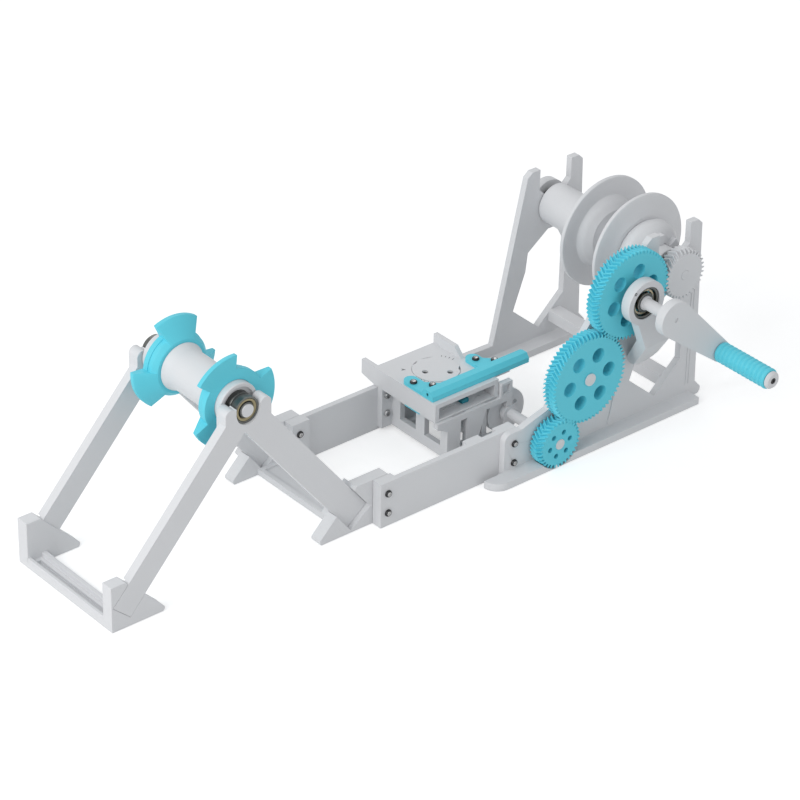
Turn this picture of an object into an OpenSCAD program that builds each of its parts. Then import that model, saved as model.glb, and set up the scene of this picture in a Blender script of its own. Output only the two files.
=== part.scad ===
// Hand cranked filament spool winder with supply stand, traverse guide and geared take-up unit
// X runs from the supply stand to the take-up unit, Y from the crank side to the back, Z is up

/* [Supply stand] */
// height of the rails, end blocks and feet above the floor
deck_h = 40; // [32:0.5:55]
// distance from the front face of one supply frame to the front face of the other
frame_pitch = 110; // [90:1:150]
// thickness of each supply frame
frame_t = 11.2; // [8:0.1:14]
// height of the roller axis above the floor
roller_z = 144.4; // [125:0.1:165]
// width of the inner frame legs
leg_w = 23.8; // [18:0.1:28]
// width of the outer frame legs
outer_leg_w = 20.6; // [16:0.1:26]
// thickness of the frame legs below the head
leg_t = 8; // [7:0.1:10]
// length of the outer leg below the roller axis
outer_leg_len = 176.1; // [160:0.1:190]
// length of the inner leg below the roller axis
inner_leg_len = 170.6; // [155:0.1:185]
// sideways shift of the outer leg from the roller axis
outer_leg_shift = 1.6; // [1:0.1:4]
// sideways shift of the inner leg from the roller axis
inner_leg_shift = 1.2; // [0.5:0.1:2]
// width of the frame head that carries the bearing
head_w = 42.7; // [38:0.1:50]
// height of the two horns above the roller axis
horn_rise = 6.6; // [5:0.1:9]
// thickness of the leg ends that are let into the base pieces
lap_t = 5.4; // [4:0.1:7]
// width of the end block at its top
block_w = 13; // [10:0.5:16]
// reach of the end block along the floor
block_reach = 48.3; // [44:0.1:54]
// height of the sloping toes at their tips
toe_h = 4; // [3:0.1:6]
// length of each foot along the floor
foot_len = 67; // [58:0.5:72]
// thickness of each foot
foot_t = 10.9; // [9:0.1:13]
// distance that the feet stand in front of the frames
foot_proud = 4.9; // [4:0.1:6]
// height of the cross members between blocks and between feet
brace_h = 5.5; // [4:0.1:8]
// width of the cross member between the feet
brace_w = 27; // [20:0.5:34]

/* [Supply roller] */
// outer diameter of the roller and axle bearings
bearing_d = 22; // [21.8:0.1:22.2]
// bore of the roller and axle bearings
bearing_bore = 8; // [7.9:0.1:8.1]
// width of the roller and axle bearings
bearing_w = 7; // [6.8:0.1:7.2]
// radial thickness of the bearing rings
ring_t = 2.5; // [2:0.1:3]
// distance from the outer face of a frame to the end of the roller hub
hub_inset = 12.2; // [11.6:0.1:14]
// diameter of the hub collars
hub_collar_d = 35.4; // [32:0.1:38]
// diameter of the hub at the inner ends of the cones
hub_flare_d = 40; // [37:0.1:43]
// diameter of the hub at its waist
hub_waist_d = 34.6; // [30:0.1:37]
// depth of the dish in the ends of the hub
hub_dish = 2.2; // [1.5:0.1:3]
// distance from the hub end to the flat face of the front cone
cone_inset = 5.8; // [5:0.1:8]
// distance from the hub end to the flat face of the back cone
cone_inset_back = 13.6; // [11:0.1:16]
// axial length of a cone
cone_len = 13; // [11:0.5:16]
// diameter of the ring of a cone
cone_ring_d = 54; // [50:0.5:58]
// diameter over the wings of a cone
cone_wing_d = 77.5; // [70:0.5:86]
// angle that each cone wing spans, degrees
wing_span = 59; // [50:1:70]

/* [Rails] */
// length of the rails that lies beside the feet
rail_lap = 15; // [14:0.5:22]
// length of the rails
rail_len = 139; // [132:0.5:150]
// thickness of the rails at their ends
rail_t = 9.8; // [8:0.1:12]
// thickness of the rails between their ends
rail_web_t = 5; // [4:0.1:6]
// length of the thick rail ends
rail_end_len = 17; // [14:0.5:22]
// height of the lower screws above the floor
screw_low_z = 12.2; // [10:0.1:14]
// distance between the lower and upper screws
screw_rise = 17.7; // [15:0.1:20]
// distance from a rail end to its screws
screw_inset = 7; // [6:0.1:9]
// diameter of the screw shanks
screw_d = 3; // [2.5:0.1:3.5]
// diameter of the screw heads
screw_head_d = 6; // [5.4:0.1:6.6]
// height of the screw heads
screw_head_h = 2; // [1.6:0.1:2.6]
// length of the screw shanks
screw_len = 13; // [10:0.5:16]

/* [Traverse guide] */
// distance from the near side of the carriage to the end of the rails
tray_reach = 48; // [44:0.5:52]
// width of the carriage along the rails
tray_w = 66.5; // [60:0.5:72]
// distance from the front supply frame face to the front of the carriage plate
tray_y = 28; // [26:0.5:32]
// depth of the carriage plate across the rails
tray_depth = 76.4; // [70:0.1:80]
// height of the carriage plate top above the floor
tray_top = 57; // [54:0.5:62]
// thickness of the carriage plate
tray_t = 4; // [3:0.1:5]
// thickness of the carriage side walls
tray_wall = 4; // [3:0.1:5]
// length of the fin behind the carriage plate
fin_len = 16; // [12:0.5:18]
// height of the raised wall beside the plate
fin_rise = 8.5; // [6:0.5:11]
// distance that the carriage slides to each side
traverse = 16; // [10:0.5:16]
// diameter of the setting dial
dial_d = 39.2; // [35:0.2:44]
// height of the guide bar
bar_h = 8; // [7:0.5:10]
// width of the guide bar
bar_w = 14; // [11:0.5:17]
// length of the guide bar
bar_len = 102; // [95:1:108]
// thickness of the tabs of the guide bar
tab_t = 3.2; // [2.5:0.1:4.5]
// distance from the front supply frame face to the front of the guide frame
guide_y = 25; // [23:0.5:27]
// width of the guide frame along the rails
guide_w = 79; // [76:0.5:84]
// thickness of the guide frame deck and walls
guide_t = 5; // [4:0.1:6]
// distance from the carriage's edge to the guide's side wall
guide_inset = 10.8; // [10:0.2:14]
// length of the screws that hold the guide
guide_screw_len = 8; // [6:0.5:8.5]
// height of the feet of the guide frame above the floor
guide_lift = 3; // [2:0.5:5]

/* [Take-up walls] */
// distance from the end of the rails to the take-up axle
axle_reach = 158.7; // [151:0.1:166]
// height of the take-up axle above the floor
axle_z = 131.8; // [125:0.1:140]
// thickness of the wall plates
wall_t = 6.1; // [5:0.1:8]
// distance from the back rail to the back wall
spacer_gap = 16.5; // [6:0.1:30]
// total height of the walls
wall_h = 168; // [162:0.1:180]
// width between the two posts
slot_w = 34.5; // [30:0.5:40]
// width of each post
post_w = 13; // [10:0.5:16]
// spread of the wall at the floor on the supply side
wall_spread = 66.8; // [62:0.2:74]
// depth of the base flange in front of each wall
base_depth = 13.5; // [10:0.5:18]
// reach of the base flange past the wall on the supply side
flange_reach = 7; // [5:0.5:9]
// thickness of the base flange
base_t = 6.8; // [5:0.1:8]
// width of the tie bar between the walls
tie_w = 13; // [10:0.5:16]
// height of the tie bar between the walls
tie_h = 10.4; // [8:0.1:13]

/* [Gear train] */
// module of the herringbone gears
gear_module = 1.25; // [1.2:0.01:1.3]
// teeth of the crank gear and the idler gear
teeth_large = 60; // [60:1:60]
// teeth of the axle gear and the drive gear
teeth_small = 32; // [32:1:32]
// face width of the gears
gear_w = 12.6; // [10:0.2:15]
// distance from the front wall to the gears
gear_gap = 1.4; // [1:0.1:3]
// helix angle of the teeth, degrees
helix_angle = 28; // [15:1:35]
// play between the flanks at the pitch circle
backlash = 0.5; // [0.3:0.05:0.7]
// direction from the axle gear to the crank gear, degrees
crank_dir = 178.6; // [176:0.2:182]
// direction from the crank gear to the idler gear, degrees
idler_dir = 235.3; // [233:0.1:238]
// direction from the idler gear to the drive gear, degrees
drive_dir = 240; // [238:0.1:242]
// diameter of the hole circle in the large gears
large_hole_circle = 41.6; // [38:0.2:46]
// diameter of the holes in the large gears
large_hole_d = 11.6; // [9:0.2:13]
// diameter of the hole circle in the drive gear
small_hole_circle = 21.2; // [19:0.2:24]
// diameter of the holes in the drive gear
small_hole_d = 4.6; // [3.5:0.1:6]
// diameter of the gear shafts
shaft_d = 8; // [7.9:0.1:8.1]
// diameter of the drive shaft
drive_shaft_d = 9; // [8:0.1:10]
// diameter of the disc on the drive shaft
drive_disc_d = 39; // [34:0.5:40]
// thickness of the disc on the drive shaft
drive_disc_t = 6; // [4:0.5:8]
// diameter of the reversing screw
reverse_d = 15; // [12:0.5:17]

/* [Take-up spool holder] */
// diameter of the spacer tube
tube_d = 36; // [34:0.2:40]
// diameter of the flanges
flange_d = 97; // [90:0.5:104]
// diameter of the threaded core
core_d = 28; // [24:0.5:32]
// pitch of the thread on the core
core_pitch = 4; // [3:0.5:5]
// distance from the back wall to the rear flange face
rear_flange_y = 62; // [56:0.5:66]
// distance between the two flange faces
spool_gap = 37.5; // [33:0.5:42]
// diameter of the clamp nut
nut_d = 61; // [54:0.5:66]
// length of the clamp nut
nut_len = 22; // [18:0.5:24]

/* [Crank] */
// distance from the gears to the bracket ring
ring_gap = 7; // [5:0.5:9]
// outer diameter of the bracket ring
bracket_ring_d = 38.2; // [34:0.2:42]
// thickness of the bracket ring
bracket_t = 9; // [8.4:0.1:10]
// outer diameter of the crank bearing
crank_bearing_d = 28; // [27.8:0.1:28.2]
// bore of the crank bearing
crank_bearing_bore = 12; // [11.9:0.1:12.1]
// width of the crank bearing
crank_bearing_w = 8; // [7.8:0.1:8.2]
// distance from the bracket ring to the crank hub
hub_gap = 26; // [20:0.5:30]
// diameter of the crank hub
crank_hub_d = 31; // [27:0.5:35]
// thickness of the crank arm
arm_t = 8; // [6:0.5:10]
// distance from the crank axis to the grip axis
crank_len = 71.1; // [60:0.1:80]
// direction of the crank arm at rest, degrees
crank_rest = -41.9; // [-60:0.1:-20]
// diameter of the arm end at the grip
arm_end_d = 18.4; // [16:0.2:21]
// length of the grip
grip_len = 55; // [48:1:62]
// diameter of the grip over its ribs
grip_d = 17.6; // [15:0.2:21]
// number of ribs on the grip
grip_ribs = 12; // [10:1:14]

/* [Clearances] */
// gap between seated pieces and between moving pieces
gap = 0.3; // [0.25:0.05:0.4]
// radial play of the running fits
run_fit = 0.06; // [0.03:0.01:0.09]
// overrun of the cuts
over = 1; // [0.5:0.1:2]

/* [Hidden] */
$fn = 64;
// places of the middles of the leg ends, above the floor and from the tips of their blocks
outer_end_z = 13.53;
inner_end_z = 10.52;
outer_end_x = 10.47;
inner_end_x = 41.03;
// steps that worked-out places and angles are rounded to
place_step = 0.01;
angle_step = 0.01;
// the legs stand at the angles, and the feet, rails and walls in the places, that their lengths give
outer_leg_angle = stepped(asin((roller_z - outer_end_z) / outer_leg_len), angle_step);
inner_leg_angle = stepped(asin((roller_z - inner_end_z) / inner_leg_len), angle_step);
roller_x = stepped(outer_end_x + outer_leg_len * cos(outer_leg_angle), place_step);
foot_x = stepped(roller_x + inner_leg_len * cos(inner_leg_angle) - inner_end_x, place_step);
rail_x = foot_x + foot_len - rail_lap;
tray_x = rail_x + rail_len - tray_reach;
axle_x = rail_x + rail_len + axle_reach;
frame_y = [0, frame_pitch];
rail_y = -foot_proud - rail_t - gap;
wall_y = rail_y - wall_t;
tray_x1 = tray_x + tray_w;
tray_y1 = tray_y + tray_depth;
tray_wall_z = deck_h + gap;
rail_back_y = frame_pitch + rail_y;
back_wall_y = rail_back_y + rail_t + spacer_gap;
gear_y = wall_y - gear_gap - gear_w;
pitch_large = gear_module * teeth_large;
pitch_small = gear_module * teeth_small;
mesh_unequal = (pitch_large + pitch_small) / 2;
mesh_equal = pitch_large;
axle_p = [axle_x, axle_z];
crank_p = axle_p + mesh_unequal * [cos(crank_dir), sin(crank_dir)];
idler_p = crank_p + mesh_equal * [cos(idler_dir), sin(idler_dir)];
drive_p = idler_p + mesh_unequal * [cos(drive_dir), sin(drive_dir)];
roller_p = [roller_x, roller_z];
grip_p = crank_p + crank_len * [cos(crank_rest), sin(crank_rest)];
ring_y = gear_y - ring_gap - bracket_t;
arm_y = ring_y - hub_gap - arm_t;
grip_y = arm_y - gap - grip_len;
seat_d = bearing_d + gap;
seat_shoulder = (frame_t - bearing_w) / 2 - gap / 2;
dial_p = [tray_x + 0.55 * tray_w, tray_y + 0.555 * tray_depth];
post_x0 = axle_x - slot_w / 2 - post_w;
post_x1 = axle_x + slot_w / 2 + post_w;
white_c = [0.90, 0.90, 0.91];
teal_c = [0.33, 0.77, 0.84];
steel_c = [0.62, 0.63, 0.65];

// Placing helpers

// The part's origin lies on the floor, under the front wall's flange, below the take-up axle

function stepped(v, step) = round(v / step) * step;

module place() {
  translate([-axle_x, base_depth / 2 - wall_y, 0])
    children();
}

module slab(y0, t) {
  translate([0, y0 + t, 0])
    rotate([90, 0, 0])
      linear_extrude(t)
        children();
}

module rod(p, y0, len, d) {
  translate([p[0], y0 + len, p[1]])
    rotate([90, 0, 0])
      cylinder(h = len, d = d);
}

module cone_rod(p, y0, len, d_front, d_back) {
  translate([p[0], y0 + len, p[1]])
    rotate([90, 0, 0])
      cylinder(h = len, d1 = d_back, d2 = d_front);
}

module turned(p, y0) {
  translate([p[0], y0, p[1]])
    rotate([-90, 0, 0])
      rotate_extrude()
        children();
}

module box(x, y, z) {
  translate([x[0], y[0], z[0]])
    cube([x[1] - x[0], y[1] - y[0], z[1] - z[0]]);
}

// Two round ends joined by their outer tangents

function arc(p, r, a0, a1, n) = [for (i = [0:n]) p + r * [cos(a0 + (a1 - a0) * i / n), sin(a0 + (a1 - a0) * i / n)]];

module link(p1, r1, p2, r2) {
  a = atan2(p2[1] - p1[1], p2[0] - p1[0]);
  t = acos((r1 - r2) / norm(p2 - p1));
  polygon(concat(
    arc(p1, r1, a + t, a + 360 - t, 2 * $fn / 3),
    arc(p2, r2, a - t, a + t, $fn / 2)
  ));
}

// Involute herringbone gears

function inv_deg(a) = tan(a) * 180 / PI - a;

function flank_half(r, z) =
  let (rp = gear_module * z / 2, rb = rp * cos(20), ra = max(r, rb))
  (PI * gear_module / 2 - backlash / 2) / (2 * rp) * 180 / PI
    + inv_deg(20) - inv_deg(acos(rb / ra));

function tooth_points(z, a, rs) = concat(
  [for (r = rs) r * [cos(a - flank_half(r, z)), sin(a - flank_half(r, z))]],
  [for (i = [len(rs) - 1:-1:0]) rs[i] * [cos(a + flank_half(rs[i], z)), sin(a + flank_half(rs[i], z))]]
);

function gear_points(z) =
  let (rp = gear_module * z / 2, rs = [rp - 1.2 * gear_module, rp, rp + gear_module])
  [for (i = [0:z - 1]) each tooth_points(z, 360 * i / z, rs)];

// Phase that puts a gap of the next gear on a tooth of this one along their line of centres
function next_phase(phase, z1, dir, z2) =
  let (pitch = 360 / z1, lead = (dir - phase) - pitch * floor((dir - phase) / pitch))
  dir + 180 + lead * z1 / z2 + 180 / z2;

crank_phase = crank_dir + 180;
axle_phase = next_phase(crank_phase, teeth_large, crank_dir + 180, teeth_small);
idler_phase = next_phase(crank_phase, teeth_large, idler_dir, teeth_large);
drive_phase = next_phase(idler_phase, teeth_large, drive_dir, teeth_small);

module herringbone(z, hand) {
  half_w = gear_w / 2;
  twist = hand * half_w * tan(helix_angle) / (gear_module * z / 2) * 180 / PI;
  for (m = [0, 1])
    mirror([0, 0, m])
      linear_extrude(half_w, twist = twist, slices = 2)
        polygon(gear_points(z));
}

module gear_at(p, z, hand, phase) {
  translate([p[0], gear_y + gear_w / 2, p[1]])
    rotate([90, 0, 0])
      rotate([0, 0, phase])
        herringbone(z, hand);
}

module hole_ring(p, circle_d, d, n, turn) {
  for (i = [0:n - 1])
    rod(p + circle_d / 2 * [cos(turn + 360 * i / n), sin(turn + 360 * i / n)],
      gear_y - over, gear_w + 2 * over, d);
}

module hole_ring_flare(p, circle_d, d, n, turn) {
  for (i = [0:n - 1])
    cone_rod(p + circle_d / 2 * [cos(turn + 360 * i / n), sin(turn + 360 * i / n)],
      gear_y - gap, gear_w / 4 + gap, d * 1.12, d);
}

// Ball bearings as an outer ring with its shields and an inner ring

module bearing_ring(p, y0, d, bore, w) {
  inner = bore / 2 + ring_t + gap;
  face = ring_t / 5;
  turned(p, y0)
    difference() {
      translate([inner, 0])
        square([d / 2 - inner, w]);
      for (m = [0, 1])
        translate([inner - over, m * (w - face + over) - over])
          square([d / 2 - ring_t / 2 - inner + over, face + over]);
    }
}

module bearing_core(p, y0, bore, w) {
  turned(p, y0)
    translate([bore / 2, 0])
      square([ring_t, w]);
}

// Supply stand

module leg_part(angle, side, shift, w, start, len, grow) {
  rotate(side > 0 ? -angle : 180 + angle)
    translate([start, -side * shift - w / 2 - grow])
      square([len - start + grow, w + 2 * grow]);
}

module legs(grow) {
  leg_part(outer_leg_angle, -1, -outer_leg_shift, outer_leg_w, 0, outer_leg_len, grow);
  leg_part(inner_leg_angle, 1, inner_leg_shift, leg_w, 0, inner_leg_len, grow);
}

module leg_ends() {
  outer_lap = block_w + toe_h * 2.4;
  inner_lap = (deck_h - toe_h) * 0.82;
  leg_part(outer_leg_angle, -1, -outer_leg_shift, outer_leg_w, outer_leg_len - outer_lap,
    outer_leg_len, over);
  leg_part(inner_leg_angle, 1, inner_leg_shift, leg_w, inner_leg_len - inner_lap, inner_leg_len,
    over);
}

module block_outline() {
  polygon([
    [0, 0],
    [block_reach - toe_h / 3, 0],
    [block_reach, toe_h / 3],
    [block_reach, toe_h],
    [block_w, deck_h],
    [0, deck_h]
  ]);
}

module foot_outline() {
  polygon([
    [foot_x + toe_h / 3, 0],
    [foot_x + foot_len, 0],
    [foot_x + foot_len, deck_h],
    [foot_x + deck_h - toe_h, deck_h],
    [foot_x, toe_h],
    [foot_x, toe_h / 3]
  ]);
}

module seat_cut() {
  circle(d = seat_d);
  translate([-seat_d / 2, 0])
    square([seat_d, head_w]);
}

module head_outline() {
  horn_w = (head_w - seat_d) / 2;
  difference() {
    union() {
      translate([-head_w / 2, -head_w / 3.3])
        square([head_w, head_w / 3.3 + horn_rise - horn_w / 2]);
      for (s = [-1, 1])
        translate([s * (head_w - horn_w) / 2, horn_rise - horn_w / 2])
          circle(d = horn_w);
    }
    seat_cut();
  }
}

// A frame with its roller bearing seat, opened wider on the side where the roller hub turns

module supply_frame(y0, hub_side) {
  color(white_c) place()
    difference() {
      union() {
        slab(y0, frame_t)
          translate(roller_p)
            head_outline();
        slab(y0, leg_t)
          translate(roller_p)
            difference() {
              legs(0);
              seat_cut();
            }
      }
      slab(y0 + lap_t, leg_t - lap_t + over)
        translate(roller_p)
          leg_ends();
      rod(roller_p, y0 + hub_side * (frame_t - seat_shoulder) - (1 - hub_side) * over,
        seat_shoulder + over, seat_d + 4 * gap);
    }
}

module supply_frame_front() {
  supply_frame(0, 1);
}

module supply_frame_back() {
  supply_frame(frame_pitch, 0);
}

module leg_pocket(y0) {
  slab(y0 - over - foot_proud, over + foot_proud + lap_t + gap)
    translate(roller_p)
      legs(gap);
}

module stand_base() {
  color(white_c) place()
    union() {
      for (y0 = frame_y)
        difference() {
          slab(y0, frame_t)
            block_outline();
          leg_pocket(y0);
        }
      difference() {
        box([0, block_w], [frame_t - gap, frame_pitch + gap], [0, brace_h]);
        box([block_w / 4, 3 * block_w / 4], [frame_t + toe_h, frame_pitch - toe_h],
          [brace_h / 2, brace_h + over]);
      }
    }
}

module screw_holes(y0, len, xs) {
  for (x = xs, z = [screw_low_z, screw_low_z + screw_rise])
    rod([x, z], y0, len, screw_d + gap);
}

rail_screw_x = rail_x + screw_inset;
wall_screw_x = rail_x + rail_len - screw_inset;
screw_zs = [screw_low_z, screw_low_z + screw_rise];

module supply_feet() {
  brace_x = rail_x - gap - brace_w;
  color(white_c) place()
    union() {
      for (y0 = frame_y)
        difference() {
          union() {
            slab(y0 - foot_proud, foot_t)
              foot_outline();
            slab(y0 + lap_t + gap, frame_t - lap_t - gap)
              intersection() {
                foot_outline();
                translate(roller_p)
                  legs(toe_h);
              }
          }
          leg_pocket(y0);
          screw_holes(y0 - foot_proud - over, screw_len - rail_t + 2 * over, [rail_screw_x]);
        }
      difference() {
        box([brace_x, brace_x + brace_w], [frame_t - gap, frame_pitch - foot_proud + gap],
          [0, brace_h]);
        box([brace_x + toe_h, brace_x + brace_w - toe_h],
          [frame_t + toe_h, frame_pitch - foot_proud - toe_h], [brace_h * 0.6, brace_h + over]);
      }
    }
}

function cradle_y(k) = k * frame_pitch + (frame_t - bearing_w) / 2;

module cradle_bearing_rings() {
  color(steel_c) place()
    for (k = [0, 1])
      bearing_ring(roller_p, cradle_y(k), bearing_d, bearing_bore, bearing_w);
}

module cradle_bearing_cores() {
  color(steel_c) place()
    for (k = [0, 1])
      bearing_core(roller_p, cradle_y(k), bearing_bore, bearing_w);
}

// Supply roller

cap_t = (frame_t - bearing_w) / 3;
hub_y0 = hub_inset;
hub_y1 = frame_pitch + frame_t - hub_inset;
hub_span = hub_y1 - hub_y0;
flare_share = 0.6;

module roller_axle() {
  color(white_c) place()
    union() {
      rod(roller_p, cradle_y(0), cradle_y(1) + bearing_w - cradle_y(0) + cap_t, shaft_d - gap / 3);
      rod(roller_p, cradle_y(0) - cap_t, cap_t, shaft_d + ring_t);
    }
}

module roller_axle_cap() {
  color(white_c) place()
    difference() {
      rod(roller_p, cradle_y(1) + bearing_w, cap_t * 1.6, shaft_d + ring_t);
      rod(roller_p, cradle_y(1) + bearing_w - over, cap_t + over + gap, shaft_d);
    }
}

module roller_hub() {
  collar = hub_collar_d / 2;
  flare = hub_flare_d / 2;
  waist = hub_waist_d / 2;
  neck = cone_inset + cone_len + gap;
  neck_back = cone_inset_back + cone_len + gap;
  blend = (flare - waist) * flare_share;
  seat_end = cradle_y(0) + 2 * bearing_w + 2 * gap - hub_y0;
  color(white_c) place()
    difference() {
      turned(roller_p, hub_y0)
        polygon([
          [0, 0],
          [collar - 2 * gap, 0],
          [collar, 2 * gap],
          [collar, neck],
          [flare, neck],
          [flare - blend, neck + cone_len / 4],
          [waist, neck + cone_len * flare_share],
          [waist, hub_span - neck_back - cone_len * flare_share],
          [flare - blend, hub_span - neck_back - cone_len / 4],
          [flare, hub_span - neck_back],
          [collar, hub_span - neck_back],
          [collar, hub_span - 2 * gap],
          [collar - 2 * gap, hub_span],
          [0, hub_span]
        ]);
      rod(roller_p, hub_y0 - over, hub_span + 2 * over, shaft_d + 2 * gap);
      for (m = [0, 1]) {
        rod(roller_p, m * (hub_y1 - seat_end) + (1 - m) * (hub_y0 - over), seat_end + over, seat_d);
        rod(roller_p, m * (hub_y1 - hub_dish) + (1 - m) * (hub_y0 - over), hub_dish + over,
          (seat_d + hub_collar_d) / 2);
      }
    }
}

module roller_bearings() {
  face = ring_t / 5;
  color(steel_c) place()
    for (y0 = [cradle_y(0) + bearing_w + gap, cradle_y(1) - gap - bearing_w])
      turned(roller_p, y0)
        difference() {
          translate([shaft_d / 2, 0])
            square([(bearing_d - shaft_d) / 2, bearing_w]);
          for (m = [0, 1])
            translate([shaft_d / 2 + ring_t, m * (bearing_w - face + over) - over])
              square([(bearing_d - shaft_d) / 2 - 1.5 * ring_t, face + over]);
        }
}

module wing_sector(turn) {
  r = cone_wing_d;
  h = wing_span / 2;
  rotate(turn)
    polygon([
      [0, 0],
      [r * cos(h), -r * sin(h)],
      [r * cos(h), r * sin(h)]
    ]);
}

// Flat face towards the frame, cone towards the middle, wings centred on the given angle

module roller_cone(y0, flip, mid) {
  ring = cone_ring_d / 2;
  wing = cone_wing_d / 2;
  core = hub_collar_d / 2 + gap;
  lip = cone_len * 0.3;
  nose = hub_flare_d / 2 + ring_t;
  color(teal_c) place()
    translate([roller_p[0], y0 + flip * cone_len, roller_p[1]])
      mirror([0, flip, 0])
        rotate([-90, 0, 0])
          union() {
            rotate_extrude()
              polygon([
                [core, 0],
                [ring - gap, 0],
                [ring, gap],
                [ring, cone_len - 2 * lip],
                [ring - lip / 4, cone_len - 2 * lip],
                [ring - lip / 4, cone_len - lip],
                [nose, cone_len],
                [core, cone_len]
              ]);
            intersection() {
              rotate_extrude()
                polygon([
                  [core, 0],
                  [wing, 0],
                  [wing, lip],
                  [nose, cone_len],
                  [core, cone_len]
                ]);
              linear_extrude(cone_len)
                for (i = [0:2])
                  wing_sector(-mid + 120 * i);
            }
          }
}

module roller_cone_front() {
  roller_cone(hub_y0 + cone_inset, 0, 114);
}

module roller_cone_back() {
  roller_cone(hub_y1 - cone_inset_back - cone_len, 1, 85);
}

// Rails

module rail(y0, web_y) {
  color(white_c) place()
    difference() {
      union() {
        for (x = [rail_x, rail_x + rail_len - rail_end_len])
          box([x, x + rail_end_len], [y0, y0 + rail_t], [0, deck_h]);
        box([rail_x + rail_end_len / 2, rail_x + rail_len - rail_end_len / 2],
          [web_y, web_y + rail_web_t], [0, deck_h]);
      }
      screw_holes(y0 - over, rail_t + 2 * over, [rail_screw_x, wall_screw_x]);
      guide_rail_holes();
    }
}

module rail_front() {
  rail(rail_y, rail_y);
}

module rail_back() {
  rail(rail_back_y, rail_back_y + rail_t - rail_web_t);
}

// Screws with a socket in the head, head at the front

module screw(p, y0, len) {
  difference() {
    union() {
      rod(p, y0, len, screw_d);
      rod(p, y0 - screw_head_h, screw_head_h, screw_head_d);
    }
    rod(p, y0 - screw_head_h - over, screw_head_h / 2 + over, screw_d * 0.85);
  }
}

module rail_screws() {
  color(steel_c) place()
    for (y0 = [rail_y, rail_back_y], z = screw_zs)
      screw([rail_screw_x, z], y0, screw_len);
}

// Traverse guide

guide_x0 = tray_x + guide_inset;
guide_x1 = tray_x + guide_w;
guide_in_x = drive_p[0] - drive_disc_d / 2 - 2 * gap;
guide_y1 = rail_back_y + rail_t - rail_web_t;
guide_back_y = rail_back_y - screw_head_h - 2 * gap;
guide_rail_y = rail_y + rail_web_t;
finger_y = (guide_back_y + guide_y + drive_disc_t) / 2;
lug_x = (tray_x + gap + guide_x0) / 2;
shelf_top = deck_h - guide_t - 2 * gap;
lug_y = guide_y1 - guide_t - 2 * gap;
guide_screw_back = guide_y1 - lug_y + guide_screw_len - guide_t;
lug_screw_zs = [deck_h * 0.4, deck_h * 0.82];

module guide_rail_holes() {
  for (z = lug_screw_zs) {
    rod([lug_x, z], guide_rail_y + guide_t - guide_screw_len - gap, guide_screw_len + gap + over,
      screw_d + gap);
    rod([lug_x, z], lug_y - over, guide_screw_back + gap + over, screw_d + gap);
  }
}

window_shares = [0.198, 0.296, 0.465];
window_lean_shares = [0.01, 0.132];
side_window_shares = [[0.13, 0.42], [0.58, 0.87]];
slit_shares = [[0.22, 0.4], [0.66, 0.82]];

module window(x0, x1, z0, z1, lean) {
  polygon([
    [x0, z0],
    [x1, z0],
    [x1 + lean, z1],
    [x0 + lean, z1]
  ]);
}

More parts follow.
